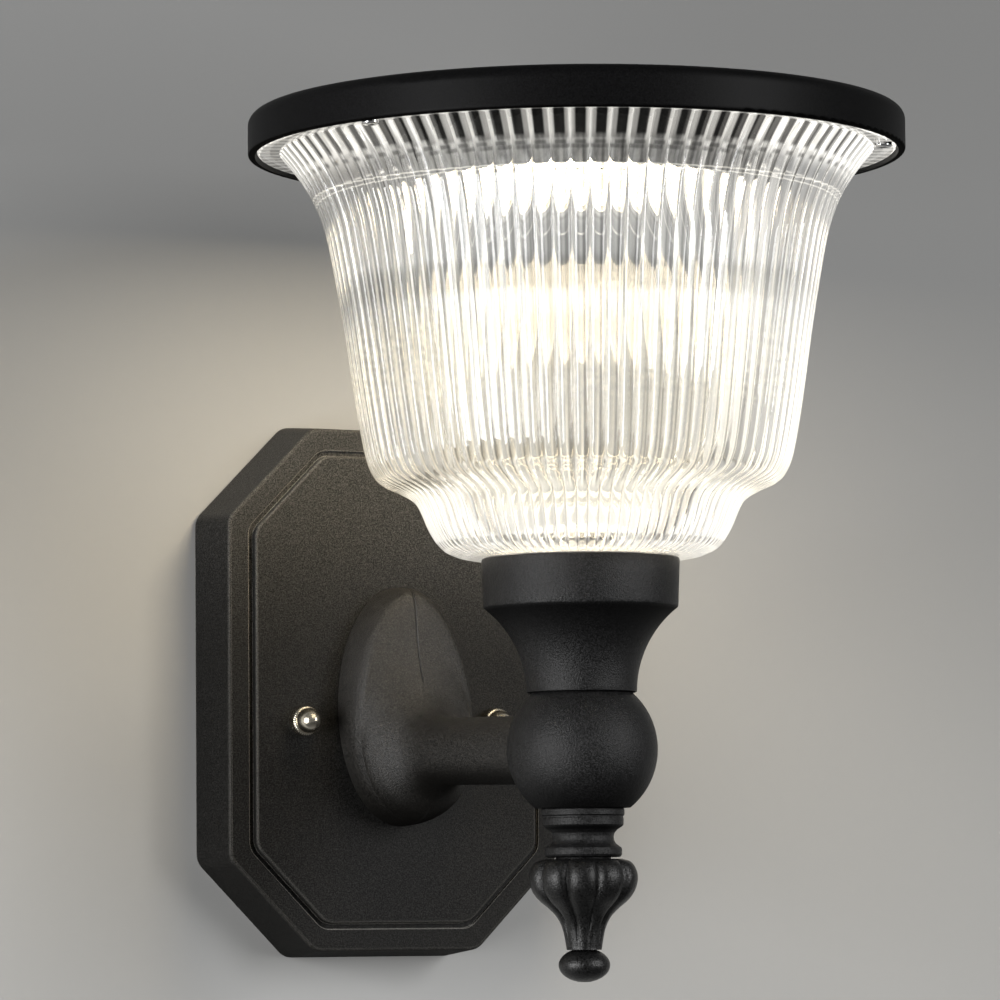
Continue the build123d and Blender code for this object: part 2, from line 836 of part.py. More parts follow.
# Round cap: rim, deck with a sunk window for the panel, screw bosses and button hole
def cap_housing():
    low_edge = cap_low + cap_low_round
    top_edge = cap_top - cap_top_round
    straight = math.sqrt(2) / 2
    low_arc = ThreePointArc(
        (cap_radius - cap_low_round, cap_low),
        (cap_radius - cap_low_round * (1 - straight), low_edge - cap_low_round * straight),
        (cap_radius, low_edge),
    )
    side = Line((cap_radius, low_edge), (cap_radius, top_edge))
    top_arc = ThreePointArc(
        (cap_radius, top_edge),
        (cap_radius - cap_top_round * (1 - straight), top_edge + cap_top_round * straight),
        (cap_radius - cap_top_round, cap_top),
    )
    inside = Polyline(
        (cap_radius - cap_top_round, cap_top),
        (riser_inner, cap_top),
        (riser_inner, ledge_top),
        (ledge_inner, ledge_top),
        (ledge_inner, ledge_low),
        (riser_outer, ledge_low),
        (riser_outer, deck_low),
        (cap_inner_radius - cap_low_round, deck_low),
        (cap_inner_radius, deck_low - cap_low_round),
        (cap_inner_radius, cap_low),
        (cap_radius - cap_low_round, cap_low),
    )
    body = turned(low_arc + side + top_arc + inside)
    screw_end = flange_low + shade_screw_length + thread_gap
    for spot in shade_screw_spots():
        body = body + spot * disc(cap_boss_radius, cap_gasket_top, deck_low + cap_deck / 2)
        body = body - spot * disc(shade_screw_radius + thread_gap, cap_gasket_top - overrun, screw_end)
    for spot in switch_post_spots():
        body = body + spot * disc(switch_post_radius, switch_board_top(), deck_low + cap_deck / 2)
    for spot in tray_screw_spots():
        body = body - spot * disc(tray_screw_radius + thread_gap, ledge_low - overrun, ledge_top + overrun)
    button_hole = disc(button_radius + button_gap, deck_low - overrun, cap_top + overrun)
    return body - Pos(0, button_circle, 0) * button_hole


def cap_gasket():
    outer = shade_screw_circle - cap_boss_radius + cap_gasket_width
    seal = ring(outer, outer - cap_gasket_width, flange_top, cap_gasket_top)
    for spot in shade_screw_spots():
        seal = seal + spot * disc(cap_boss_radius, flange_top, cap_gasket_top)
        seal = seal - spot * disc(shade_screw_hole, flange_top - overrun, cap_gasket_top + overrun)
    return seal


# Solar panel, from the ledge up: gasket, board, cells, glass
def panel_gasket():
    outer = panel_radius - panel_gap
    return ring(outer, outer - panel_gasket_width, ledge_top, ledge_top + panel_gasket_thick)


def solar_board():
    low = ledge_top + panel_gasket_thick
    return disc(panel_radius, low, low + panel_board_thick)


def solar_cells():
    low = ledge_top + panel_gasket_thick + panel_board_thick
    pitch = 2 * cell_field_radius / cell_strip_count
    strips = []
    for index in range(cell_strip_count):
        centre = (index - (cell_strip_count - 1) / 2) * pitch
        strip = Pos(centre, 0, 0) * block(
            pitch - cell_strip_gap, 2 * cell_field_radius, low, low + panel_cell_thick
        )
        strips.append(strip & disc(cell_field_radius, low - overrun, low + overrun))
    return grouped(strips)


def solar_glass():
    return disc(panel_radius, cap_top - panel_glass_thick, cap_top)


def tray_screw_spots():
    return circle_spots(tray_screw_circle, tray_screw_count, tray_screw_turn)


# Light tray: a flanged pan that holds the circuit above and the lamp board below
def light_tray():
    body = disc(tray_flange_radius, tray_flange_low, tray_flange_top)
    body = body + disc(tray_radius, tray_low, tray_flange_top)
    body = body - disc(tray_radius - tray_wall, tray_floor_top, tray_flange_top + overrun)
    body = body - disc(tray_radius - tray_wall, tray_low - overrun, tray_floor_low)
    for spot in tray_screw_spots():
        hole = disc(tray_screw_radius + thread_gap, tray_flange_low - overrun, tray_flange_top + overrun)
        body = body - spot * hole
    for spot in led_screw_spots():
        hole = disc(led_screw_radius + thread_gap, tray_floor_low - overrun, tray_floor_top + overrun)
        body = body - spot * hole
    clamp_screw_end = battery_top - clamp_screw_length
    for spot in clamp_post_spots():
        body = body + spot * disc(clamp_post_radius, tray_floor_top - tray_wall / 2, battery_top)
        body = body - spot * disc(clamp_screw_radius + thread_gap, clamp_screw_end, battery_top + overrun)
    for spot in circuit_post_spots():
        body = body + spot * disc(circuit_post_radius, tray_floor_top - tray_wall / 2, circuit_low)
        body = body - spot * disc(circuit_screw_radius + thread_gap, tray_floor_top, circuit_low + overrun)
    for spot in pin_spots():
        body = body - spot * disc(2 * pin_radius, tray_floor_low - overrun, tray_floor_top + overrun)
    return body


def tray_screws():
    low = tray_flange_low - tray_screw_head_thick
    head = disc(tray_screw_head_radius, low, tray_flange_low)
    screw = head + disc(tray_screw_radius, low, low + tray_screw_length)
    return grouped([spot * screw for spot in tray_screw_spots()])


def led_screw_spots():
    return circle_spots(led_screw_circle, led_screw_count, 180 / led_ring_counts[-1])


def led_board():
    board = disc(led_board_radius, board_low, tray_floor_low)
    for spot in led_screw_spots():
        hole = disc(led_screw_radius + thread_gap, board_low - overrun, tray_floor_low + overrun)
        board = board - spot * hole
    for spot in pin_spots():
        board = board - spot * disc(pin_radius + thread_gap, board_low - overrun, tray_floor_low + overrun)
    return board


def led_screws():
    low = board_low - led_screw_head_thick
    screw = disc(led_screw_head_radius, low, board_low) + disc(led_screw_radius, low, tray_floor_top)
    return grouped([spot * screw for spot in led_screw_spots()])


def led_chips():
    chips = []
    for radius, count in zip(led_ring_radii, led_ring_counts):
        for index in range(count):
            chip = block(led_chip_length, led_chip_width, board_low - led_chip_thick, board_low)
            chips.append(Rot(0, 0, 360 * index / count) * Pos(radius, 0, 0) * chip)
    return grouped(chips)


# Flat battery with its pad and clamp bar
def battery_pad():
    return Pos(0, battery_back, 0) * block(battery_length, battery_width, tray_floor_top, battery_low)


def battery_cell():
    cell = block(battery_length, battery_width, battery_low, battery_top)
    return Pos(0, battery_back, 0) * fillet(cell.edges().filter_by(Axis.X), battery_round)


def clamp_post_spots():
    reach = battery_length / 2 + clamp_post_gap + clamp_post_radius
    return [Pos(side * reach, battery_back, 0) for side in (-1, 1)]


def battery_clamp():
    reach = battery_length / 2 + clamp_post_gap + clamp_post_radius
    bar = block(2 * (reach + clamp_post_radius), clamp_bar_width, battery_top, battery_top + clamp_bar_thick)
    bar = Pos(0, battery_back, 0) * fillet(bar.edges().filter_by(Axis.Z), clamp_post_radius)
    bar_past_top = battery_top + clamp_bar_thick + overrun
    for spot in clamp_post_spots():
        bar = bar - spot * disc(clamp_screw_radius + thread_gap, battery_top - overrun, bar_past_top)
    return bar


def clamp_screws():
    low = battery_top + clamp_bar_thick
    head_top = low + clamp_screw_head_thick
    head = disc(clamp_screw_head_radius, low, head_top)
    shank = disc(clamp_screw_radius, battery_top - clamp_screw_length + clamp_screw_radius, head_top)
    return grouped([spot * (head + shank) for spot in clamp_post_spots()])


# Control board on its posts, with the parts on it
def circuit_post_spots():
    reach_x = circuit_length / 2 - circuit_post_inset
    reach_y = circuit_width / 2 - circuit_post_inset
    return [Pos(x * reach_x, y * reach_y - circuit_front, 0) for x in (-1, 1) for y in (-1, 1)]


def pin_spots():
    return [Pos(side * pin_spacing / 2, -circuit_front, 0) for side in (-1, 1)]


def control_board():
    board = Pos(0, -circuit_front, 0) * block(circuit_length, circuit_width, circuit_low, circuit_top)
    for spot in circuit_post_spots():
        hole = disc(circuit_screw_radius + thread_gap, circuit_low - overrun, circuit_top + overrun)
        board = board - spot * hole
    for spot in pin_spots():
        board = board - spot * disc(pin_radius + thread_gap, circuit_low - overrun, circuit_top + overrun)
    return board


def circuit_screws():
    head_top = circuit_top + circuit_screw_head_thick
    head = disc(circuit_screw_head_radius, circuit_top, head_top)
    screw = head + disc(circuit_screw_radius, circuit_top - circuit_screw_length, head_top)
    return grouped([spot * screw for spot in circuit_post_spots()])


# Parts on the board: place along it as a share of its length, then length, width and height
def circuit_parts():
    sizes = [(-0.31, 8.0, 8.0, 3.0), (-0.12, 5.0, 4.0, 1.6), (0.13, 7.0, 6.0, 1.8), (0.36, 5.0, 5.0, 5.0)]
    parts = []
    for share, length, width, height in sizes:
        place = Pos(share * circuit_length, -circuit_front, 0)
        parts.append(place * block(length, width, circuit_top, circuit_top + height))
    return grouped(parts)


def led_pins():
    low = board_low - led_chip_thick
    return grouped([spot * disc(pin_radius, low, circuit_top + pin_head) for spot in pin_spots()])


# Motion sensor board on its pad, with its shield can
def sensor_pad():
    pad = block(sensor_can_length, sensor_can_width, tray_floor_top, tray_floor_top + sensor_pad_thick)
    return Pos(0, -sensor_front, 0) * pad


def motion_sensor():
    low = tray_floor_top + sensor_pad_thick
    board = block(sensor_length, sensor_width, low, low + sensor_thick)
    can = block(sensor_can_length, sensor_can_width, low, low + sensor_thick + sensor_can_height)
    return Pos(0, -sensor_front, 0) * (board + can)


# Lead pairs held between the pieces they join
def lead_pair(points_for_side):
    leads = []
    for side in (-1, 1):
        points = points_for_side(side * lead_spacing / 2)
        path = FilletPolyline(points, radius=lead_bend)
        start = Plane(origin=points[0], z_dir=points[1] - points[0])
        leads.append(sweep(start * Circle(lead_radius), path))
    return grouped(leads)


def battery_leads():
    start = battery_back - battery_width / 2
    level = circuit_top + lead_rise
    place = -circuit_length / 4 + lead_spacing

    def route(offset):
        return [
            Vector(place + offset, start, level),
            Vector(place + offset, start - lead_run, level),
            Vector(place + offset, start - lead_run, circuit_top),
        ]

    return lead_pair(route)


def panel_leads():
    top = ledge_top + panel_gasket_thick
    place = circuit_length / 4
    bend_level = circuit_top + 2 * lead_rise

    def route(offset):
        return [
            Vector(place + offset, lead_run - circuit_front, top),
            Vector(place + offset, lead_run - circuit_front, bend_level),
            Vector(place + offset, -circuit_front, bend_level),
            Vector(place + offset, -circuit_front, circuit_top),
        ]

    return lead_pair(route)


def sensor_leads():
    start = tray_floor_top + sensor_pad_thick + sensor_thick
    level = circuit_top + lead_rise
    sensor_side = sensor_width / 2 - lead_spacing / 2 - sensor_front
    circuit_side = lead_spacing / 2 - circuit_width / 2 - circuit_front

    def route(offset):
        return [
            Vector(offset, sensor_side, start),
            Vector(offset, sensor_side, level),
            Vector(offset, circuit_side, level),
            Vector(offset, circuit_side, circuit_top),
        ]

    return lead_pair(route)


# Mode button with its switch, under the deck on the wall side
def button_stem_low():
    return deck_low - button_flange_gap - button_flange_thick


def switch_top():
    return button_stem_low() - plunger_proud - button_edge


def switch_board_top():
    return switch_top() - switch_height


def switch_post_spots():
    reach = switch_board_length / 2 - switch_post_radius
    return [Pos(side * reach, button_circle, 0) for side in (-1, 1)]


def mode_button():
    cap_piece = disc(button_radius, button_stem_low(), cap_top + button_proud)
    cap_piece = fillet(cap_piece.edges().sort_by(Axis.Z)[-1], button_edge)
    flange = disc(button_flange_radius, button_stem_low(), button_stem_low() + button_flange_thick)
    stem = disc(button_stem_radius, button_stem_low() - button_edge, button_stem_low() + button_flange_thick)
    return Pos(0, button_circle, 0) * (cap_piece + flange + stem)


def switch_plunger():
    plunger = disc(plunger_radius, switch_top() - plunger_sunk, switch_top() + plunger_proud)
    return Pos(0, button_circle, 0) * plunger


def mode_switch():
    body = block(switch_size, switch_size, switch_board_top(), switch_top())
    well_low = switch_top() - plunger_sunk - button_travel - plunger_gap
    body = body - disc(plunger_radius + plunger_gap, well_low, switch_top() + overrun)
    return Pos(0, button_circle, 0) * body


def switch_board():
    low = switch_board_top() - switch_board_thick
    return Pos(0, button_circle, 0) * block(switch_board_length, switch_board_width, low, switch_board_top())


wall_nodes = {
    "wall_bracket": wall_bracket(),
    "bracket_studs": bracket_studs(),
    "stud_nuts": stud_nuts(),
    "backplate": backplate(),
    "backplate_gasket": backplate_gasket(),
    "thumb_nut_left": Pos(-stud_spacing / 2, 0, 0) * thumb_nut(),
    "thumb_nut_right": Pos(stud_spacing / 2, 0, 0) * thumb_nut(),
    "nut_washer_left": Pos(-stud_spacing / 2, 0, 0) * nut_washer(),
    "nut_washer_right": Pos(stud_spacing / 2, 0, 0) * nut_washer(),
    "arm": arm(),
    "arm_gasket": arm_gasket(),
    "arm_screws": arm_screws(),
    "ball_housing": ball_housing(),
    "ball_grub_screw": ball_grub_screw(),
}

head_nodes = {
    "clamp_rod": clamp_rod(),
    "finial_collar": finial_collar(),
    "finial_washer": finial_washer(),
    "finial": finial(),
    "lamp_cup": lamp_cup(),
    "shade_seat_gasket": shade_seat_gasket(),
    "shade": shade(),
    "shade_clamp_washer": shade_clamp_washer(),
    "shade_clamp_nut": shade_clamp_nut(),
    "shade_screws": shade_screws(),
    "cap_housing": cap_housing(),
    "cap_gasket": cap_gasket(),
    "panel_gasket": panel_gasket(),
    "solar_board": solar_board(),
    "solar_cells": solar_cells(),
    "solar_glass": solar_glass(),
    "light_tray": light_tray(),
    "tray_screws": tray_screws(),
    "led_board": led_board(),
    "led_screws": led_screws(),
    "led_chips": led_chips(),
    "battery_pad": battery_pad(),
    "battery_cell": battery_cell(),
    "battery_clamp": battery_clamp(),
    "clamp_screws": clamp_screws(),
    "control_board": control_board(),
    "circuit_screws": circuit_screws(),
    "circuit_parts": circuit_parts(),
    "led_pins": led_pins(),
    "sensor_pad": sensor_pad(),
    "motion_sensor": motion_sensor(),
    "battery_leads": battery_leads(),
    "panel_leads": panel_leads(),
    "sensor_leads": sensor_leads(),
    "mode_button": mode_button(),
    "switch_plunger": switch_plunger(),
    "mode_switch": mode_switch(),
    "switch_board": switch_board(),
}

os.makedirs("parts", exist_ok=True)
for name, shape in wall_nodes.items():
    export_step(shape, f"parts/{name}.step")
for name, shape in head_nodes.items():
    export_step(head_place * shape, f"parts/{name}.step")
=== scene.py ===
import math

import bmesh
import bpy
from mathutils import Matrix, Vector


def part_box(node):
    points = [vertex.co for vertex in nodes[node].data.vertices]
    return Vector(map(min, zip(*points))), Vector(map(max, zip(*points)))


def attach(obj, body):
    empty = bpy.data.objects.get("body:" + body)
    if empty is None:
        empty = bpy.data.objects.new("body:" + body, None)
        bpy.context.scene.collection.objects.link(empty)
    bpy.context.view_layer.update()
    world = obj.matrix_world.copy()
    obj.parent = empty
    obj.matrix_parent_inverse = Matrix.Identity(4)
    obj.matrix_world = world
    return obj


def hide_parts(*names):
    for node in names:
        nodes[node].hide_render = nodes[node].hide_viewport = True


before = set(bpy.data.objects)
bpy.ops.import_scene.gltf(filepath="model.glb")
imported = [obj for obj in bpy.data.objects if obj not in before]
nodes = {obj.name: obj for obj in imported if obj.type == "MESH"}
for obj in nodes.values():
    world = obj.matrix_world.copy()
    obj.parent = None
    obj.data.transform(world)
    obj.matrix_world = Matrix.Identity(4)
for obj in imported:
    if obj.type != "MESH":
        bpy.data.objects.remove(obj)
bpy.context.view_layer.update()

# Places taken from the frame, in metres: the middle of the ball on the lamp's axis, and the plate's front.
# Sizes of shapes are in millimetres, and their heights are taken from the middle of the ball.
ball_low, ball_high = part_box("ball_housing")
arm_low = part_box("arm")[0]
MM = 0.001
BALL_FLAT_LOW, BALL_FLAT_HIGH, BALL_RADIUS = -18.0, 17.3, 23.2
AXIS = Vector((0, ball_low.y + BALL_RADIUS * MM, ball_low.z - BALL_FLAT_LOW * MM))
PLATE_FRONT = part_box("backplate")[0].y
RIBS = 90


# Shader building: one number or colour in a material, with plain arithmetic
class Val:
    def __init__(self, tree, socket):
        self.tree, self.socket = tree, socket

    def _math(self, kind, *others, clamp=False):
        return self.tree.node("ShaderNodeMath", {"operation": kind, "use_clamp": clamp}, [self, *others])[0]

    def __add__(self, other):
        return self._math("ADD", other)

    def __sub__(self, other):
        return self._math("SUBTRACT", other)

    def __mul__(self, other):
        return self._math("MULTIPLY", other)

    def __truediv__(self, other):
        return self._math("DIVIDE", other)

    def __pow__(self, other):
        return self._math("POWER", other)

    def __abs__(self):
        return self._math("ABSOLUTE")

    __radd__ = __add__
    __rmul__ = __mul__

    def __rsub__(self, other):
        return self * -1 + other

    def floor(self):
        return self._math("FLOOR")

    def fract(self):
        return self._math("FRACT")

    def sqrt(self):
        return self._math("SQRT")

    def clip(self):
        return self._math("ADD", 0.0, clamp=True)

    def ramp(self, low, high):
        """0 at low, 1 at high, smooth in between."""
        out = self.tree.node("ShaderNodeMapRange", {"interpolation_type": "SMOOTHSTEP"},
                             {"Value": self, "From Min": low, "From Max": high})
        return out[0]


class Mat:
    def __init__(self, name):
        self.material = bpy.data.materials.new(name)
        self.material.use_nodes = True
        self.tree = self.material.node_tree
        self.tree.nodes.clear()
        self.out = self.tree.nodes.new("ShaderNodeOutputMaterial")
        self.place = self.node("ShaderNodeNewGeometry")
        self.spot = self.node("ShaderNodeTexCoord")[3]

    def node(self, kind, settings=None, inputs=None):
        made = self.tree.nodes.new(kind)
        for key, value in (settings or {}).items():
            if key == "stops":
                self.set_stops(made.color_ramp.elements, value)
            else:
                setattr(made, key, value)
        pairs = inputs.items() if isinstance(inputs, dict) else enumerate(inputs or [])
        for key, value in pairs:
            if isinstance(value, Val):
                self.tree.links.new(value.socket, made.inputs[key])
            else:
                made.inputs[key].default_value = value
        return [Val(self, socket) for socket in made.outputs]

    def set_stops(self, elements, stops):
        while len(elements) < len(stops):
            elements.new(0.5)
        for element, (place, colour) in zip(elements, stops):
            element.position = place
        for element, (place, colour) in zip(elements, stops):
            element.color = (*colour, 1)

    def noise(self, scale, detail=2.0, rough=0.5, stretch=None, where=None):
        where = where or self.spot
        if stretch:
            where = self.node("ShaderNodeMapping", {}, {"Vector": where, "Scale": stretch})[0]
        inputs = {"Vector": where, "Scale": scale, "Detail": detail, "Roughness": rough}
        return self.node("ShaderNodeTexNoise", {}, inputs)[0]

    def xyz(self):
        return self.node("ShaderNodeSeparateXYZ", {}, [self.spot])

    def angle(self, across, up):
        return up._math("ARCTAN2", across)

    def mix(self, share, one, two):
        """Colours one and two (tuples or values) mixed by share."""
        one = (*one, 1) if isinstance(one, tuple) else one
        two = (*two, 1) if isinstance(two, tuple) else two
        made = self.tree.nodes.new("ShaderNodeMix")
        made.data_type = "RGBA"
        for socket, value in zip((made.inputs[0], made.inputs[6], made.inputs[7]), (share, one, two)):
            if isinstance(value, Val):
                self.tree.links.new(value.socket, socket)
            else:
                socket.default_value = value
        return Val(self, made.outputs[2])

    def bump(self, height, distance, strength=1.0, normal=None):
        inputs = {"Strength": strength, "Distance": distance, "Height": height}
        if normal:
            inputs["Normal"] = normal
        return self.node("ShaderNodeBump", {}, inputs)[0]

    def surface(self, **inputs):
        named = {key.replace("_", " "): value for key, value in inputs.items()}
        for key in ("Base Color", "Emission Color", "Specular Tint", "Sheen Tint"):
            if isinstance(named.get(key), tuple):
                named[key] = (*named[key], 1)
        return self.node("ShaderNodeBsdfPrincipled", {}, named)[0]

    def blend(self, share, one, two):
        return self.node("ShaderNodeMixShader", {}, {0: share, 1: one, 2: two})[0]

    def close(self, shader):
        self.tree.links.new(shader.socket, self.out.inputs["Surface"])
        return self.material


def edge_mask(m, rounded, gain):
    """1 on outer edges, 0 on flats."""
    dot = m.node("ShaderNodeVectorMath", {"operation": "DOT_PRODUCT"}, [rounded, m.place[1]])[1]
    return ((1 - dot) * gain).clip()


def scaled(colour, share):
    return tuple(c * share for c in colour)


# Powder coat: grains per metre, shades of a grain as shares of the colour, depth of a grain, and the heights
# in the frame between which painted glow light lightens the coat
FINE_GRAIN, MIDDLE_GRAIN, COAT_PATCHES = 2400, 1500, 30
GRAIN_DARK, GRAIN_LIGHT, GRAIN_DEPTH = 0.25, 3.2, 0.30 * MM
GLOW_PAINT_START, GLOW_PAINT_END = 0.015, 0.085
# Colour and gain of the painted highlight along edges
EDGE_HIGHLIGHT, EDGE_GAIN = (0.46, 0.44, 0.40), 14.0
# Casting seam of the arm: half its width, and the heights above and below which it shows, in the frame
SEAM_CORE, SEAM_EDGE = 0.08 * MM, 0.4 * MM
SEAM_UPPER, SEAM_LOWER = (0.011, 0.014), (-0.031, -0.028)


def cast_seam(m, base, height):
    """A thin groove at the top of the arm's root and a pale line at its bottom."""
    x, y, z = m.xyz()
    line = 1 - abs(x).ramp(SEAM_CORE, SEAM_EDGE)
    upper = line * z.ramp(*SEAM_UPPER)
    lower = line * (1 - z.ramp(*SEAM_LOWER))
    base = m.mix(upper * 0.75, base, (0.002, 0.002, 0.002))
    base = m.mix(lower * 0.5, base, (0.10, 0.10, 0.10))
    return base, height - upper * 1.2


def coated(name, colour, rough, grain=1.0, edge=0.0, rim=0.0, seam=False, shine=0.22,
           painted_glow=1.0, under=0.85, side=0.0):
    """Powder coat with fine bright grains and a painted highlight on its edges. Painted shade darkens
    undersides toward a matt colour by the share under, left and right faces by under times side, and painted
    glow light from the lamp lightens high places."""
    m = Mat(name)
    fine = m.noise(FINE_GRAIN, 2.0, 0.65)
    middle = m.noise(MIDDLE_GRAIN, 2.0, 0.55)
    patch = m.noise(COAT_PATCHES, 3.0, 0.5)
    speck = (fine - 0.5) * 2.6 + (middle - 0.5) * 1.0
    lift = (speck * 0.9 * grain + 0.27 + (patch - 0.5) * 0.08).clip()
    # Painted glow light: the coat is lighter towards high places, where the lamp's glow falls
    rise = m.xyz()[2].ramp(GLOW_PAINT_START, GLOW_PAINT_END)
    dark = m.mix(rise, scaled(colour, GRAIN_DARK), scaled(colour, GRAIN_DARK * painted_glow))
    light = m.mix(rise, scaled(colour, GRAIN_LIGHT), scaled(colour, GRAIN_LIGHT * painted_glow))
    base = m.mix(lift, dark, light)
    height = fine * 0.6 + middle * 0.4
    rounded = m.node("ShaderNodeBevel", {"samples": 3}, {"Radius": rim})[0] if rim else None
    # Painted highlight on rounded edges
    if edge:
        edge_highlight = edge_mask(m, rounded, EDGE_GAIN) * (fine * 1.7).clip()
        base = m.mix((edge_highlight * edge).clip(), base, EDGE_HIGHLIGHT)
    if seam:
        base, height = cast_seam(m, base, height)
    finish = (speck * 0.16 * grain + (patch - 0.5) * 0.04 + rough).clip()
    normal = m.bump(height, GRAIN_DEPTH * grain ** 2, 0.65, normal=rounded)
    lit = m.surface(Base_Color=base, Roughness=finish, Normal=normal, Specular_IOR_Level=shine)
    # Painted shade: undersides and, by side, left and right faces turn to this dark matt colour
    shaded_dark = m.node("ShaderNodeBsdfDiffuse", {}, [(*scaled(colour, 0.3), 1)])[0]
    across, _, up = m.node("ShaderNodeSeparateXYZ", {}, [m.place[1]])
    away = ((up * -1).ramp(0.2, 0.85) + abs(across).ramp(0.80, 0.98) * side).clip()
    return m.close(m.blend(away * under, lit, shaded_dark))


def metal(name, colour, rough, brush=0.0, grain=900.0):
    m = Mat(name)
    smear = m.noise(grain, 3.0, 0.6, stretch=(1, 1, 14) if brush else None)
    dirt = m.noise(160, 4.0, 0.6)
    tint = m.mix((dirt * 1.2 - 0.3).clip(), scaled(colour, 0.78), colour)
    finish = ((smear - 0.5) * (0.25 + brush) + (dirt - 0.5) * 0.2 + rough).clip()
    normal = m.bump(smear, 0.00004, 0.3 + brush)
    return m.close(m.surface(Base_Color=tint, Metallic=1.0, Roughness=finish, Normal=normal))


def plain(name, colour, rough, vary=0.25, coat=0.0, grain=1200.0, bump=0.00005):
    m = Mat(name)
    fine = m.noise(grain, 3.0, 0.55)
    patch = m.noise(60, 3.0, 0.5)
    share = ((fine - 0.5) * 1.2 + (patch - 0.5) * 1.2 + 0.5).clip()
    light = tuple(min(1, c) for c in scaled(colour, 1 + vary))
    base = m.mix(share, scaled(colour, 1 - vary), light)
    finish = ((fine - 0.5) * 0.2 + (patch - 0.5) * 0.15 + rough).clip()
    normal = m.bump(fine, bump, 0.4)
    return m.close(m.surface(Base_Color=base, Roughness=finish, Coat_Weight=coat, Normal=normal))


def pale_shadow(m, glass, tint, let_by, low_pass=None, share=1.0):
    """Light from the lamps passes the clear piece on straight lines: the part let_by of it, or the part
    low_pass where share is 0."""
    through = m.node("ShaderNodeBsdfTransparent", {}, [(*scaled(tint, let_by), 1)])[0]
    if low_pass is not None:
        dim = m.node("ShaderNodeBsdfTransparent", {}, [(*scaled(tint, low_pass), 1)])[0]
        through = m.blend(share, dim, through)
    path = m.node("ShaderNodeLightPath")
    return m.close(m.blend((path[1] + path[2]).clip(), glass, through))


def clear(name, tint, rough, ior, let_by):
    m = Mat(name)
    faint = m.noise(45, 3.0, 0.5)
    fine = m.noise(700, 2.0, 0.5)
    finish = ((faint - 0.5) * 0.04 + rough).clip()
    glass = m.surface(Base_Color=tint, Roughness=finish, Transmission_Weight=1.0, IOR=ior,
                      Normal=m.bump(fine, 0.00001, 0.12))
    return pale_shadow(m, glass, tint, let_by)


# Painted glow held in the shade's clear plastic, standing in for the lamp's light in it: height, then its
# colour
SHADE_FOOT, SHADE_TOP = 56.0, 187.0
SHADE_LIGHT = [(57.0, (0.16, 0.15, 0.13)), (64.0, (0.26, 0.255, 0.24)), (76.0, (0.31, 0.30, 0.265)),
               (82.0, (0.31, 0.275, 0.21)), (90.0, (0.26, 0.235, 0.18)), (100.0, (0.20, 0.18, 0.14)),
               (106.0, (0.22, 0.195, 0.14)), (126.0, (0.22, 0.20, 0.15)), (133.0, (0.13, 0.125, 0.11)),
               (146.0, (0.15, 0.15, 0.14)), (158.0, (0.17, 0.165, 0.15)), (170.0, (0.09, 0.085, 0.08)),
               (185.0, (0.05, 0.05, 0.05))]
# Heights between which a look of the shade starts or ends
FOOT_END, BEADS_START, BEADS_END = (77, 80), (98, 106), (125, 131)
FLARE_START, TALL_MARKS_START, STRAIGHT_LIGHT_START = (172.5, 180), (176.9, 178.3), (86, 122)
# Lowest and highest place of each band on the shade
LOW_DOTS, DIM_BAND, CORE_BAND = (61.4, 63.4), (134, 143), (143, 159)
EDGE_LINE, BLOBS = (169.5, 169.9), (174.9, 176.1)
SIDE_LOWER, SIDE_UPPER = (84, 140), (140, 172)
# The side painted with more glow: its direction from the axis, and about the shade's radius
BRIGHT_X, BRIGHT_Y, SHADE_REACH = 0.883, -0.469, 0.075


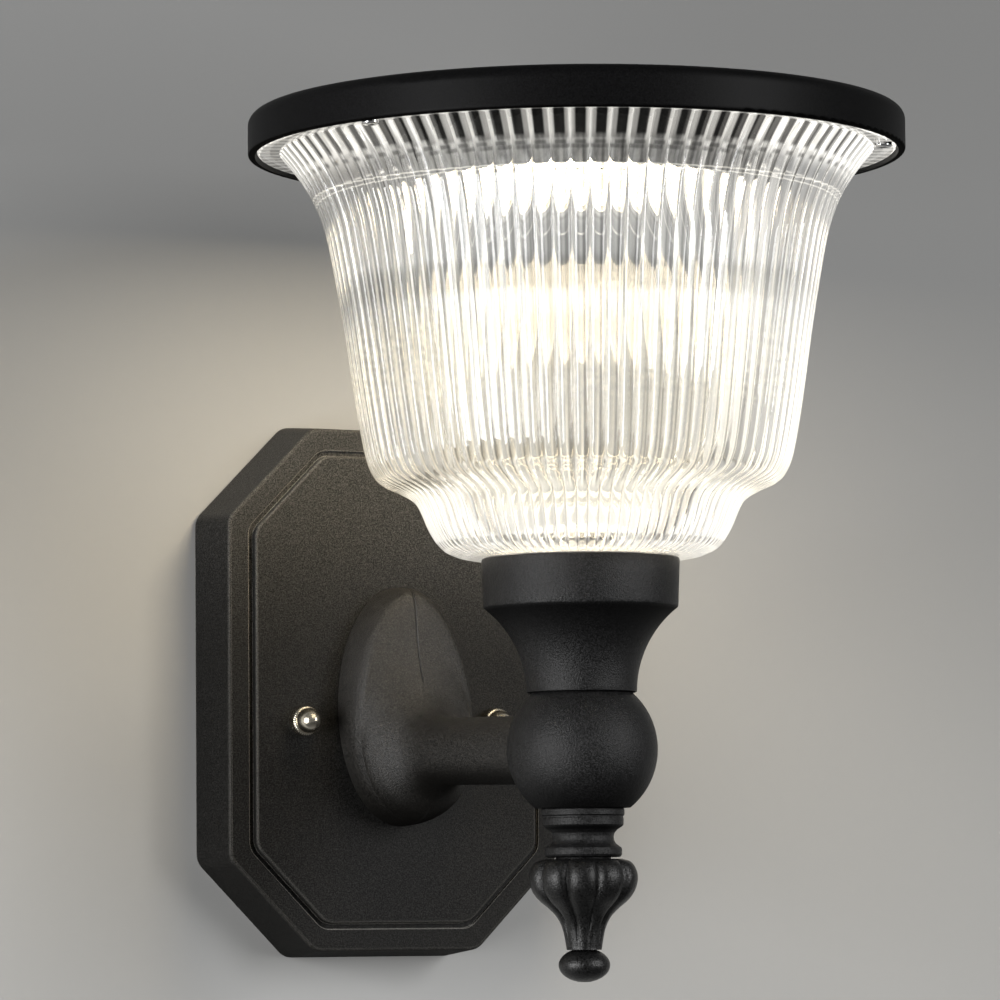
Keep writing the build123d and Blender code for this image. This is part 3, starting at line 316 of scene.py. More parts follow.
def lit_ribs(name, tint, rough, ior, let_by, low_pass):
    """Clear ribbed plastic with painted glow light: a thin painted bright and a thin painted dark line on
    each rib, painted bright beads at mid height, painted dark marks standing in for the cap seen through the
    flared top.
    Its foot lets less light by."""
    m = Mat(name)
    x, y, z = m.xyz()
    along = m.angle(x - AXIS.x, y - AXIS.y) * (RIBS / (2 * math.pi))
    share = along.fract()
    rib = along.floor()
    height = (z - AXIS.z) / MM
    off = abs(share - 0.5)
    facing = m.node("ShaderNodeLayerWeight", {}, {"Blend": 0.5})[1]
    front = 1 - facing.ramp(0.45, 0.75)
    ahead = 1 - facing.ramp(0.15, 0.45)

    def streaks(across, up, detail=2.0):
        where = m.node("ShaderNodeCombineXYZ", {}, [across, height * up, 0.0])[0]
        return m.noise(1.0, detail, 0.6, where=where)

    def window(band, soft=0.4):
        low, high = band
        return height.ramp(low - soft, low + soft) * (1 - height.ramp(high - soft, high + soft))

    drift = streaks(rib * 3.7, 0.035, 3.0)
    jitter = streaks(rib * 5.3, 0.0) * 3.0
    beads = streaks(along * 2.2, 0.55).ramp(0.42, 0.62)
    foot = 1 - height.ramp(*FOOT_END)

    # Painted light on each rib: a bright line, a dark line, and a warm line at the foot
    bright_line = 1 - off.ramp(0.035, 0.09)
    painted_dark_line = (1 - abs(share - 0.66).ramp(0.03, 0.08)) * (1 - foot)
    painted_warm_line = off.ramp(0.40, 0.46) * foot
    middle = height.ramp(*BEADS_START) * (1 - (height + jitter).ramp(*BEADS_END))
    lines = bright_line * drift * 2.0 * (1 - foot) + foot * (0.45 + drift * 0.4) + 0.24
    strength = lines * (1 - middle * 0.5) + middle * beads * 0.55
    strength = strength * (1 - painted_dark_line * 0.8) * (1 - painted_warm_line * 0.8)
    spread = (height - SHADE_FOOT) / (SHADE_TOP - SHADE_FOOT)
    stops = [((h - SHADE_FOOT) / (SHADE_TOP - SHADE_FOOT), colour) for h, colour in SHADE_LIGHT]
    level = m.node("ShaderNodeValToRGB", {"stops": stops}, [spread])[0]
    held = m.mix((strength * (facing * 1.5 + 0.45)).clip(), (0, 0, 0), level)

    # Painted glow: more on the side that faces the right lamp, on the flared top and in a core band
    toward = (x - AXIS.x) / SHADE_REACH * BRIGHT_X + (y - AXIS.y) / SHADE_REACH * BRIGHT_Y
    bright = toward.ramp(0.35, 0.95)
    core = front * window(CORE_BAND, 4.0) * 0.03
    flare = (off.ramp(0.12, 0.34) * 0.7 + 0.3) * (bright * 0.15 + front * 0.05 + 0.22)
    flare = height.ramp(*FLARE_START) * flare
    sides = window(SIDE_LOWER, 6.0) * 0.22 + window(SIDE_UPPER, 6.0) * 0.09
    sides = sides * bright * (drift * 0.5 + 0.5)
    held = m.mix((core + flare + sides).clip(), held, (1.0, 0.97, 0.90))

    # Painted dark marks standing in for the black cap seen through the flared top, and dark dots low down
    tall = (1 - off.ramp(0.20, 0.30)) * height.ramp(*TALL_MARKS_START)
    blob = (1 - off.ramp(0.22, 0.36)) * window(BLOBS)
    low_dots = (1 - off.ramp(0.18, 0.30)) * window(LOW_DOTS) * (drift * 2.4 - 0.3).clip()
    marks = ((tall + blob * 0.8) * front + low_dots * 0.8).clip()
    # Painted pale line near the top, then the painted dark marks
    held = m.mix(window(EDGE_LINE, 0.15), held, (0.45, 0.43, 0.38))
    held = m.mix(marks, held, (0, 0, 0))
    # Painted shade in the clear body: dark lines, a dim band, a warm line at the foot and the dark marks
    body = m.mix(painted_dark_line * 0.55, tint, (0.30, 0.30, 0.31))
    body = m.mix(window(DIM_BAND, 2.0) * ahead * 0.7, body, (0.45, 0.45, 0.43))
    body = m.mix(painted_warm_line * 0.5, body, (0.55, 0.42, 0.30))
    body = m.mix(marks * 0.93, body, (0.010, 0.008, 0.007))

    faint = m.noise(45, 3.0, 0.5)
    finish = ((faint - 0.5) * 0.04 + rough).clip()
    glass = m.surface(Base_Color=body, Roughness=finish, Transmission_Weight=1.0, IOR=ior,
                      Emission_Color=held, Emission_Strength=1.0, Normal=m.bump(faint, 0.00002, 0.12))
    return pale_shadow(m, glass, tint, let_by, low_pass, height.ramp(*STRAIGHT_LIGHT_START))


def glowing(name, colour, glow, strength):
    m = Mat(name)
    fine = m.noise(2400, 2.0, 0.5)
    base = m.mix(fine, scaled(colour, 0.8), colour)
    lit = m.mix(fine, scaled(glow, 0.85), glow)
    return m.close(m.surface(Base_Color=base, Roughness=0.4, Emission_Color=lit, Emission_Strength=strength))


# Heights in the frame between which painted shade darkens the wall towards its top, in metres
WALL_DARKENS = (-0.20, 0.26)


def wall_paint(name, low, high, top=1.0):
    """Grey backdrop seen only from its front, with painted shade darker towards its top by the share named
    top.
    """
    m = Mat(name)
    grain = m.noise(240, 4.0, 0.6)
    cloud = m.noise(2.2, 3.0, 0.5)
    base = m.mix(((grain - 0.5) * 0.25 + (cloud - 0.5) * 1.2 + 0.5).clip(), low, high)
    if top != 1.0:
        # Painted shade: the wall darkens towards its top
        rise = m.xyz()[2].ramp(*WALL_DARKENS)
        base = m.mix(rise, base, scaled(low, top))
    paint = m.surface(Base_Color=base, Roughness=0.85, Specular_IOR_Level=0.2)
    gone = m.node("ShaderNodeBsdfTransparent")[0]
    return m.close(m.blend(m.place[6], paint, gone))


# Reach from the axis where the tray's drum side and its flange start, in metres
DRUM_SIDE, FLANGE_START = (0.0552, 0.0556), (0.0563, 0.0568)


def tray_white(name):
    """White lamp face inside the drum, grey drum side, black flange under the cap."""
    m = Mat(name)
    x, y, z = m.xyz()
    reach = ((x - AXIS.x) ** 2 + (y - AXIS.y) ** 2).sqrt()
    fine = m.noise(900, 3.0, 0.55)
    mottle = m.noise(150, 3.0, 0.6)
    upright = 1 - abs(m.node("ShaderNodeSeparateXYZ", {}, [m.place[1]])[2]).ramp(0.3, 0.6)
    base = m.mix(fine, (0.70, 0.70, 0.68), (0.78, 0.78, 0.76))
    side = m.mix((mottle * 2.0 - 0.5).clip(), (0.05, 0.048, 0.045), (0.42, 0.41, 0.38))
    base = m.mix(upright * reach.ramp(*DRUM_SIDE), base, side)
    base = m.mix(reach.ramp(*FLANGE_START), base, (0.012, 0.012, 0.012))
    finish = (fine * 0.1 + 0.3).clip()
    return m.close(m.surface(Base_Color=base, Roughness=finish, Normal=m.bump(fine, 0.00005, 0.3)))


BLACK = (0.0085, 0.0085, 0.0087)
PLATE_BLACK = (0.0120, 0.0117, 0.0110)
ARM_BLACK = (0.0130, 0.0121, 0.0108)
URN_BLACK = (0.005, 0.005, 0.005)
CAP_BLACK = (0.0035, 0.0035, 0.0037)
# Each coat has painted shade on its undersides by the share under; the plate also has painted glow on its
# upper part, painted highlights on its edges and painted shade on its sides
paint_black = coated("black_coat", BLACK, 0.42, 1.3)
paint_plate = coated("black_coat_plate", PLATE_BLACK, 0.58, edge=0.9, rim=0.4 * MM, shine=0.10, painted_glow=2.3,
                     under=0.5, side=0.8)
paint_arm = coated("black_coat_arm", ARM_BLACK, 0.46, 1.5, seam=True, shine=0.36)
paint_urn = coated("black_coat_urn", URN_BLACK, 0.32, 1.1, shine=0.34, under=0.1)
cap_black = coated("black_cap_plastic", CAP_BLACK, 0.46, 0.5, rim=1.2 * MM, shine=0.06)
nickel = metal("satin_nickel", (0.80, 0.74, 0.62), 0.20)
chrome = metal("bright_screw", (0.86, 0.86, 0.87), 0.10)
zinc = metal("zinc_steel", (0.60, 0.60, 0.61), 0.32, brush=0.1)
brass = metal("brass_pin", (0.80, 0.62, 0.28), 0.25)
shade_clear = lit_ribs("clear_plastic", (0.985, 0.99, 0.99), 0.02, 1.49, 0.92, 0.35)
panel_glass = clear("clear_glass", (0.95, 0.97, 0.98), 0.40, 1.2, 0.9)
white_plastic = plain("white_plastic", (0.74, 0.74, 0.72), 0.35, 0.05)
tray_face = tray_white("white_tray")
black_plastic = plain("black_plastic", (0.02, 0.02, 0.021), 0.4, 0.3)
rubber = plain("black_rubber", (0.028, 0.028, 0.028), 0.75, 0.3)
foam = plain("grey_foam", (0.22, 0.22, 0.225), 0.9, 0.3, grain=2200, bump=0.0002)
green = plain("green_board", (0.02, 0.17, 0.07), 0.35, 0.25, coat=0.3)
board = plain("panel_board", (0.08, 0.13, 0.10), 0.6, 0.2)
wrap = plain("battery_wrap", (0.10, 0.17, 0.40), 0.35, 0.12, coat=0.2)
wire = plain("wire_red", (0.55, 0.04, 0.03), 0.4, 0.15)
chip_glow = glowing("led_yellow", (0.95, 0.80, 0.40), (1.0, 0.86, 0.62), 60.0)
# The LED board is painted glowing, standing in for the light its chips throw on it
board_glow = glowing("board_painted_glow", (0.85, 0.84, 0.80), (1.0, 0.84, 0.62), 1.6)


CELL_FINGERS, CELL_BARS = 500, 50


def cell_material():
    """Dark silicon with fine silver fingers across and wider silver bars, so many to the metre."""
    m = Mat("dark_cell")
    x, y, _ = m.xyz()
    fingers = abs((y * CELL_FINGERS).fract() - 0.5).ramp(0.46, 0.49)
    bars = abs((x * CELL_BARS + 0.25).fract() - 0.5).ramp(0.47, 0.49)
    cloud = m.noise(120, 4.0, 0.6)
    base = m.mix(cloud, (0.004, 0.006, 0.020), (0.010, 0.014, 0.045))
    base = m.mix((fingers * 0.35 + bars).clip(), base, (0.45, 0.46, 0.48))
    return m.close(m.surface(Base_Color=base, Roughness=0.45, Specular_IOR_Level=0.15))


cells_dark = cell_material()


# Mesh building
def new_mesh(name, verts, faces, material, body=None, smooth=None):
    mesh = bpy.data.meshes.new(name)
    mesh.from_pydata([tuple(v) for v in verts], [], faces)
    mesh.update()
    obj = bpy.data.objects.new(name, mesh)
    bpy.context.collection.objects.link(obj)
    mesh.materials.append(material)
    if smooth is not None:
        mesh.shade_smooth()
        mesh.set_sharp_from_angle(angle=math.radians(smooth))
    if body:
        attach(obj, body)
    return obj


def soften(points, radii, steps=6):
    """The polyline with its inner corners rounded."""
    out = [Vector(points[0])]
    for before, here, after, radius in zip(points, points[1:], points[2:], radii):
        a, b, c = Vector(before), Vector(here), Vector(after)
        if radius <= 0:
            out.append(b)
            continue
        into, away = (a - b).normalized(), (c - b).normalized()
        half = into.angle(away) / 2
        reach = min(radius / math.tan(half), 0.48 * (a - b).length, 0.48 * (c - b).length)
        for index in range(steps + 1):
            t = index / steps
            out.append((b + into * reach) * (1 - t) ** 2 + b * 2 * t * (1 - t) + (b + away * reach) * t ** 2)
    out.append(Vector(points[-1]))
    return out


def spline(points, per=8):
    """Smooth curve through the points."""
    pts = [Vector(p) for p in points]
    pts = [pts[0] * 2 - pts[1]] + pts + [pts[-1] * 2 - pts[-2]]
    out = []
    for p0, p1, p2, p3 in zip(pts, pts[1:], pts[2:], pts[3:]):
        d1 = max((p1 - p0).length, 1e-9) ** 0.5
        d2 = max((p2 - p1).length, 1e-9) ** 0.5
        d3 = max((p3 - p2).length, 1e-9) ** 0.5
        m1 = (p2 - p0) / (d1 + d2)
        m2 = (p3 - p1) / (d2 + d3)
        m1, m2 = m1 * d2, m2 * d2
        for index in range(per):
            t = index / per
            out.append(p1 * (2 * t**3 - 3 * t**2 + 1) + m1 * (t**3 - 2 * t**2 + t)
                       + p2 * (3 * t**2 - 2 * t**3) + m2 * (t**3 - t**2))
    out.append(pts[-2])
    return out


def turned(name, profile, material, body=None, around=AXIS, count=160, smooth=40, wave=None, axis="Z"):
    """Solid of revolution. profile holds (radius, height) pairs; wave(turn, row) scales the radius."""
    verts, faces, rows = [], [], []
    for row, (radius, height) in enumerate(profile):
        if radius < 1e-7:
            rows.append([len(verts)])
            verts.append((0, 0, height))
            continue
        start = len(verts)
        for index in range(count):
            turn = 2 * math.pi * index / count
            reach = radius * (wave(turn, row) if wave else 1)
            verts.append((reach * math.cos(turn), reach * math.sin(turn), height))
        rows.append(list(range(start, start + count)))
    for low, high in zip(rows, rows[1:]):
        for index in range(count):
            after = (index + 1) % count
            if len(low) == 1 and len(high) == 1:
                continue
            if len(low) == 1:
                faces.append((low[0], high[after], high[index]))
            elif len(high) == 1:
                faces.append((low[index], low[after], high[0]))
            else:
                faces.append((low[index], low[after], high[after], high[index]))
    if axis == "Y":
        verts = [(x, -z, y) for x, y, z in verts]
    verts = [Vector(v) + around for v in verts]
    return new_mesh(name, verts, faces, material, body, smooth)


def mm(pairs):
    return [(a * MM, b * MM) for a, b in pairs]


# Ribbed shade, as one closed clear piece: radius and height of its outer outline
SHADE_OUT = [(34.04, 58.6), (38.55, 59.6), (42.87, 62.0), (46.37, 67.0), (49.77, 74.6), (52.07, 77.2),
             (56.03, 79.4), (60.26, 81.4), (63.20, 83.9), (65.78, 89.8), (68.91, 106.5), (72.50, 130.7),
             (76.82, 155.2), (79.58, 165.0), (82.89, 172.1), (87.03, 178.4), (92.0, 184.4)]
SHADE_FLOOR = [(5.1, 56.0), (27.0, 56.0), (27.6, 56.6), (27.6, 58.9)]
SHADE_FLANGE = [(94.2, 184.4), (98.3, 184.4), (98.75, 184.8), (98.75, 186.4), (98.3, 186.8)]
SHADE_INSIDE_FLOOR = [(30.5, 58.8), (5.1, 58.8), (5.1, 56.0)]
SHADE_WALL, RIBS_START, RIBS_FADE_IN = 2.0, 58.6, 1.2
MOUTH_HEIGHT, MOUTH_EDGE = 186.2, 0.6
RIB_DEPTH, FIRST_RIB_SHARE = 0.0185, 0.35
POINTS_PER_RIB = 12


def rib_wave(turn):
    """0 on the crest of a rib, 1 in the groove between two."""
    share = (turn * RIBS / (2 * math.pi)) % 1
    return 1 - math.sqrt(max(0.0, 1 - (2 * share - 1) ** 2 * 0.93))


def build_shade():
    outer = spline(mm(SHADE_OUT), 7)
    wall = SHADE_WALL * MM
    inner = spline([(r * (1 - RIB_DEPTH) - wall, z + wall) for r, z in mm(SHADE_OUT[1:])], 7)
    rows = [(r, z, 0) for r, z in mm(SHADE_FLOOR)]
    for r, z in outer:
        fade = min(1, max(0.0, (z - RIBS_START * MM) / (RIBS_FADE_IN * MM)))
        rows.append((r, z, RIB_DEPTH * (FIRST_RIB_SHARE + (1 - FIRST_RIB_SHARE) * fade)))
    rows += [(r, z, 0) for r, z in mm(SHADE_FLANGE)]
    mouth = inner[-1][0]
    rows.append((mouth + MOUTH_EDGE * MM, (MOUTH_HEIGHT + MOUTH_EDGE) * MM, 0))
    rows.append((mouth, MOUTH_HEIGHT * MM, 0))
    rows += [(r, z, 0) for r, z in reversed(inner)]
    rows += [(r, z, 0) for r, z in mm(SHADE_INSIDE_FLOOR)]
    count = RIBS * POINTS_PER_RIB
    deepest = rib_wave(0)
    table = [rib_wave(2 * math.pi * i / count) / deepest for i in range(POINTS_PER_RIB)]
    profile = [(r, z) for r, z, _ in rows]
    depth = [d for _, _, d in rows]

    def wave(turn, row):
        return 1 - depth[row] * table[round(turn * count / (2 * math.pi)) % POINTS_PER_RIB]

    return turned("ribbed_shade", profile, shade_clear, None, count=count, smooth=48, wave=wave)


shade = build_shade()
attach(shade, "lamp")
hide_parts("shade")


# Trumpet cup
def arc(centre, radius, start, end, steps):
    spots = []
    for index in range(steps + 1):
        turn = math.radians(start + (end - start) * index / steps)
        spots.append((centre[0] + radius * math.cos(turn), centre[1] + radius * math.sin(turn)))
    return spots


# The flare is an arc: radius and height of its middle, its own radius, and its lowest and highest place
FLARE_MIDDLE, CUP_FOOT, FLARE_RADIUS = 50.0, 17.3, 33.0
FLARE_LOW, FLARE_HIGH, FLARE_STEPS = 17.9, 42.6, 22
CUP_BASE = [(5.0, 17.3), (16.55, 17.3), (16.9, 17.5)]
CUP_BAND = [(29.75, 43.35), (30.0, 43.9), (30.05, 45), (30.55, 57.9), (30.4, 58.4), (29.9, 58.6),
            (28.4, 58.6), (28.05, 58.3), (28.0, 55.0), (5.0, 55.0)]


def build_cup():
    heights = [FLARE_LOW + i * (FLARE_HIGH - FLARE_LOW) / FLARE_STEPS for i in range(FLARE_STEPS + 1)]
    flare = [(FLARE_MIDDLE - math.sqrt(FLARE_RADIUS**2 - (z - CUP_FOOT) ** 2), z) for z in heights]
    outside = CUP_BASE + flare + CUP_BAND
    return turned("trumpet_cup", mm(outside), paint_black, "lamp", count=200, smooth=28)


cup = build_cup()
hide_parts("lamp_cup")


# Ball with flats
BALL_BORE, BALL_EDGE = 5.0, 0.4


def build_ball():
    low = math.degrees(math.asin(BALL_FLAT_LOW / BALL_RADIUS))
    high = math.degrees(math.asin(BALL_FLAT_HIGH / BALL_RADIUS))
    side = arc((0, 0), BALL_RADIUS, low, high, 56)
    profile = [(BALL_BORE, BALL_FLAT_LOW), (side[0][0] - BALL_EDGE, BALL_FLAT_LOW)] + side
    profile += [(side[-1][0] - BALL_EDGE, BALL_FLAT_HIGH), (BALL_BORE, BALL_FLAT_HIGH)]
    made = turned("arm_ball", mm(profile), paint_black, "lamp", count=200, smooth=30)
    shape = bmesh.new()
    shape.from_mesh(made.data)
    flat = Vector((0, ball_high.y, 0))
    parts = shape.verts[:] + shape.edges[:] + shape.faces[:]
    cut = bmesh.ops.bisect_plane(shape, geom=parts, plane_co=flat, plane_no=(0, 1, 0), clear_outer=True)
    rim = [item for item in cut["geom_cut"] if isinstance(item, bmesh.types.BMEdge)]
    bmesh.ops.edgeloop_fill(shape, edges=rim)
    shape.to_mesh(made.data)
    shape.free()
    made.data.shade_smooth()
    made.data.set_sharp_from_angle(angle=math.radians(30))
    return made


ball = build_ball()
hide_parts("ball_housing")


# Arm: an egg-shaped boss on the plate that draws in to a round tube. Each row holds the depth from the plate,
# the lowest and highest point, half the width and the egg's lean.
BOSS = [(0.6, -21.0, 57.1, 22.1, 0), (4, -21.0, 57.0, 22.1, 0.03), (8, -20.8, 56.3, 21.9, 0.10),
        (11, -20.4, 55.0, 21.4, 0.14), (12.5, -20.2, 53.0, 20.9, 0.14), (13.4, -20.0, 49.9, 20.6, 0.12),
        (14.1, -19.8, 45.0, 20.3, 0.09), (15.0, -19.6, 37.0, 20.0, 0.06), (16.5, -19.2, 31.5, 19.5, 0.03),
        (18.5, -18.4, 26.0, 18.4, 0), (20.5, -17.2, 22.0, 17.0, 0), (23, -15.0, 18.8, 14.8, 0),
        (26, -12.2, 16.0, 12.7, 0), (30, -9.9, 14.2, 11.4, 0), (35, -8.8, 13.2, 10.8, 0),
        (42, -8.7, 12.9, 10.8, 0)]
TUBE, SPIGOT, SPIGOT_STEP, SPIGOT_EDGE, TIP_CLOSED = 10.8, 9.0, 0.2, 0.05, 0.001
# What is left of the first row's half height and half width where the boss's back closes
BACK_CENTRE_HEIGHT, BACK_CENTRE_WIDTH = 0.15, 0.05
TUBE_ROWS, ARM_POINTS = 8, 144


def build_arm():
    rows = [tuple(v) for v in spline([Vector(row) for row in BOSS], 4)]
    last = rows[-1]
    middle = (last[1] + last[2]) / 2
    join = (PLATE_FRONT - ball_high.y) / MM
    tip = (PLATE_FRONT - arm_low.y) / MM
    reach = (PLATE_FRONT - AXIS.y) / MM

    def tube_row(depth, radius):
        rise = middle * (reach - depth) / (reach - last[0])
        return (depth, rise - radius, rise + radius, radius, 0)

    for step in range(1, TUBE_ROWS + 1):
        rows.append(tube_row(last[0] + (join + SPIGOT_STEP - last[0]) * step / TUBE_ROWS, TUBE))
    rows.append(tube_row(join + SPIGOT_STEP + SPIGOT_EDGE, SPIGOT))
    rows += [tube_row(tip, SPIGOT), tube_row(tip, TIP_CLOSED)]
    depth, low, high, half, lean = rows[0]
    centre = (low + high) / 2
    back = (depth, centre - BACK_CENTRE_HEIGHT, centre + BACK_CENTRE_HEIGHT, BACK_CENTRE_WIDTH, 0)
    rows = [back] + rows
    count = ARM_POINTS
    verts, faces = [], []
    for depth, low, high, half, lean in rows:
        for index in range(count):
            turn = 2 * math.pi * index / count
            across = half * math.cos(turn) * (1 - lean * math.sin(turn))
            up = (low + high) / 2 + (high - low) / 2 * math.sin(turn)
            verts.append(Vector((across * MM, PLATE_FRONT - depth * MM, AXIS.z + up * MM)))
    for row in range(len(rows) - 1):
        for index in range(count):
            after = (index + 1) % count
            one, two = row * count, (row + 1) * count
            faces.append((one + index, two + index, two + after, one + after))
    faces.append(tuple(range(count)))
    faces.append(tuple(reversed(range((len(rows) - 1) * count, len(rows) * count))))
    return new_mesh("boss_and_arm", verts, faces, paint_arm, "lamp", smooth=40)


arm = build_arm()
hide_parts("arm")


# Collar and finial
def build_collar():
    points = [(5.0, -18.0), (12.2, -18.0), (12.75, -18.4), (12.75, -20.2), (12.35, -20.5), (12.3, -20.9),
              (12.45, -21.2), (12.45, -23.2), (11.9, -23.8), (10.6, -24.6), (9.7, -25.6), (9.35, -26.7),
              (9.5, -28.0), (10.1, -29.0), (11.2, -29.8), (11.75, -30.2), (11.9, -30.9), (11.9, -32.2),
              (11.5, -32.9), (10.9, -33.1), (3.1, -33.1)]
    radii = [0.3, 0.5, 0.25, 0.2, 0.2, 0.2, 0.3, 0.5, 0.8, 1, 1, 1, 1, 0.6, 0.3, 0.4, 0.4, 0.3, 0.2]
    rounded = soften([Vector((a, b, 0)) for a, b in points], radii, 4)
    profile = [(v.x * MM, v.y * MM) for v in rounded]
    return turned("stepped_collar", profile, paint_black, "lamp", count=160, smooth=30)


collar = build_collar()
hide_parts("finial_collar")

# Fluted urn: shares of its widest radius and of its height, from its top down
URN_SHARES = [(0.72, 0.0), (0.87, 0.03), (0.955, 0.095), (1.0, 0.2), (0.957, 0.33), (0.842, 0.44),
              (0.628, 0.555), (0.487, 0.65), (0.387, 0.785), (0.318, 1.0)]
URN_TOP, URN_HEIGHT, URN_RADIUS, URN_TOP_SHARE = -33.7, 27.5, 17.05, 0.66
LOBES, POINTS_PER_LOBE, LOBE_DEPTH, FIRST_LOBE = 10, 20, 0.115, 6
LOBE_SHARPNESS, LOBE_ROWS_IN, LOBE_ROWS_OUT = 3.2, 8, 10
KNOB_MIDDLE, KNOB_RADIUS, KNOB_FLATNESS = -66.0, 7.9, 0.66
KNOB_NECK = (5.45, -61.35)
KNOB_FOOT = [(1.8, -71.15), (0.0, -71.2)]
STUD_RADIUS, STUD_GROOVE, STUD_TIP, STUD_ROOT, STUD_HALF_PITCH = 3.0, 2.7, 2.5, 2.9, 0.5


def build_stud(top):
    """Threaded stud above the urn, from its tip down, as rings."""
    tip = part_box("finial")[1].z - AXIS.z
    pitch = STUD_HALF_PITCH * MM
    rings = [(0.0, tip), (STUD_TIP * MM, tip)]
    for step in range(1, int((tip - top) / pitch)):
        radius = STUD_RADIUS if step % 2 else STUD_GROOVE
        rings.append((radius * MM, tip - step * pitch))
    return rings + [(STUD_ROOT * MM, top)]


def build_finial():
    top = URN_TOP * MM
    side = spline([(a * URN_RADIUS * MM, (URN_TOP - b * URN_HEIGHT) * MM) for a, b in URN_SHARES], 6)
    knob = []
    for radius, height in arc((0, KNOB_MIDDLE), KNOB_RADIUS, 62, -72, 22):
        knob.append((radius, KNOB_MIDDLE + (height - KNOB_MIDDLE) * KNOB_FLATNESS))
    profile = build_stud(top)
    start = len(profile)
    profile += [(URN_TOP_SHARE * URN_RADIUS * MM, top)] + [tuple(v)[:2] for v in side]
    edge = len(profile)
    profile += mm([KNOB_NECK] + knob + KNOB_FOOT)
    count = LOBES * POINTS_PER_LOBE
    first = math.radians(FIRST_LOBE)

    def wave(turn, row):
        if row < start or row >= edge:
            return 1
        share = ((turn - first) * LOBES / (2 * math.pi)) % 1
        crease = abs(2 * share - 1) ** LOBE_SHARPNESS
        fade = min(1.0, 0.35 + 0.65 * (row - start + 1) / LOBE_ROWS_IN)
        if row >= edge - LOBE_ROWS_OUT:
            fade *= max(0.15, (edge - row) / LOBE_ROWS_OUT)
        return 1 - LOBE_DEPTH * crease * fade

    return turned("fluted_finial", profile, paint_urn, "finial", count=count, smooth=50, wave=wave)


finial = build_finial()
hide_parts("finial")


# Knurled domed nuts: radius and height from the washer, then the dome's radius, foot and height
NUT_SIDE = [(2.05, 0.05), (4.45, 0.05), (4.9, 0.45), (4.9, 3.35), (4.5, 3.8), (4.12, 3.95)]
KNURLED_ROWS = (2, 3)
DOME_RADIUS, DOME_FOOT, DOME_HEIGHT = 4.1, 3.95, 5.6
TEETH, POINTS_PER_TOOTH, TOOTH_DEPTH, TOOTH_SHOULDER = 40, 4, 0.055, 0.02


def build_nut(name, body, x):
    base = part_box(f"nut_washer_{body[4:]}")[0].y
    dome = []
    for turn in range(4, 90, 6):
        tilt = math.radians(turn)
        dome.append((DOME_RADIUS * math.cos(tilt), DOME_FOOT + DOME_HEIGHT * math.sin(tilt)))
    profile = mm(NUT_SIDE + dome + [(0.0, DOME_FOOT + DOME_HEIGHT)])
    count = TEETH * POINTS_PER_TOOTH

    def wave(turn, row):
        if row not in KNURLED_ROWS:
            return 1
        step = round(turn * count / (2 * math.pi)) % POINTS_PER_TOOTH
        return 1 - TOOTH_DEPTH * (step == 0) - TOOTH_SHOULDER * (step in (1, 3))

    spot = Vector((x, base, 0))
    return turned(name, profile, nickel, body, around=spot, count=count, smooth=35, wave=wave, axis="Y")


for side in ("left", "right"):
    washer_low, washer_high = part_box(f"nut_washer_{side}")
    nut = build_nut(f"domed_nut_{side}", f"nut_{side}", (washer_low.x + washer_high.x) / 2)
    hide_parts(f"thumb_nut_{side}")


# Materials of the pieces that keep their CAD shape
PAINT = {
    "wall_bracket": zinc, "bracket_studs": zinc, "stud_nuts": zinc, "backplate": paint_plate,
    "backplate_gasket": foam, "nut_washer_left": nickel, "nut_washer_right": nickel, "arm": paint_arm,
    "arm_gasket": rubber, "arm_screws": zinc, "ball_grub_screw": zinc, "clamp_rod": zinc,
    "finial_washer": paint_black, "shade_seat_gasket": foam, "shade_clamp_washer": white_plastic,
    "shade_clamp_nut": white_plastic, "shade_screws": chrome, "cap_housing": cap_black, "cap_gasket": rubber,
    "panel_gasket": rubber, "solar_board": board, "solar_cells": cells_dark, "solar_glass": panel_glass,
    "light_tray": tray_face, "tray_screws": zinc, "led_board": board_glow, "led_screws": zinc,
    "led_chips": chip_glow, "battery_pad": foam, "battery_cell": wrap, "battery_clamp": zinc,
    "clamp_screws": zinc, "control_board": green, "circuit_screws": zinc, "circuit_parts": black_plastic,
    "led_pins": brass, "sensor_pad": foam, "motion_sensor": green, "battery_leads": wire,
    "panel_leads": wire, "sensor_leads": wire, "mode_button": rubber, "switch_plunger": white_plastic,
    "mode_switch": black_plastic, "switch_board": green,
}
for name, material in PAINT.items():
    mesh = nodes[name].data
    mesh.materials.clear()
    mesh.materials.append(material)


# Stage: wall, floor, lamps and world, in metres
WALL_PLACE, WALL_REACH, WALL_TOP, FLOOR_PLACE = 0.0005, 3, 3, -2.6
FLOOR_REACH, FLOOR_FRONT, FLOOR_BACK = 4, -5, 3
OPENING_SHARE = 0.985
lamp_middle = AXIS + Vector((0, 0, 0.03))


def gasket_outline():
    """Corners of the plate's eight-sided gasket as x and z, from its lower left one round by the right."""
    gasket = nodes["backplate_gasket"]
    spots = [gasket.matrix_world @ v.co for v in gasket.data.vertices]
    low_x, high_x = min(s.x for s in spots), max(s.x for s in spots)
    low_z, high_z = min(s.z for s in spots), max(s.z for s in spots)
    near = 0.1 * MM
    cut_x = high_x - max(s.x for s in spots if s.z > high_z - near)
    cut_z = high_z - max(s.z for s in spots if s.x > high_x - near)
    left, right, low, high = low_x + cut_x, high_x - cut_x, low_z + cut_z, high_z - cut_z
    return [(left, low_z), (right, low_z), (high_x, low), (high_x, high),
            (right, high_z), (left, high_z), (low_x, high), (low_x, low)]


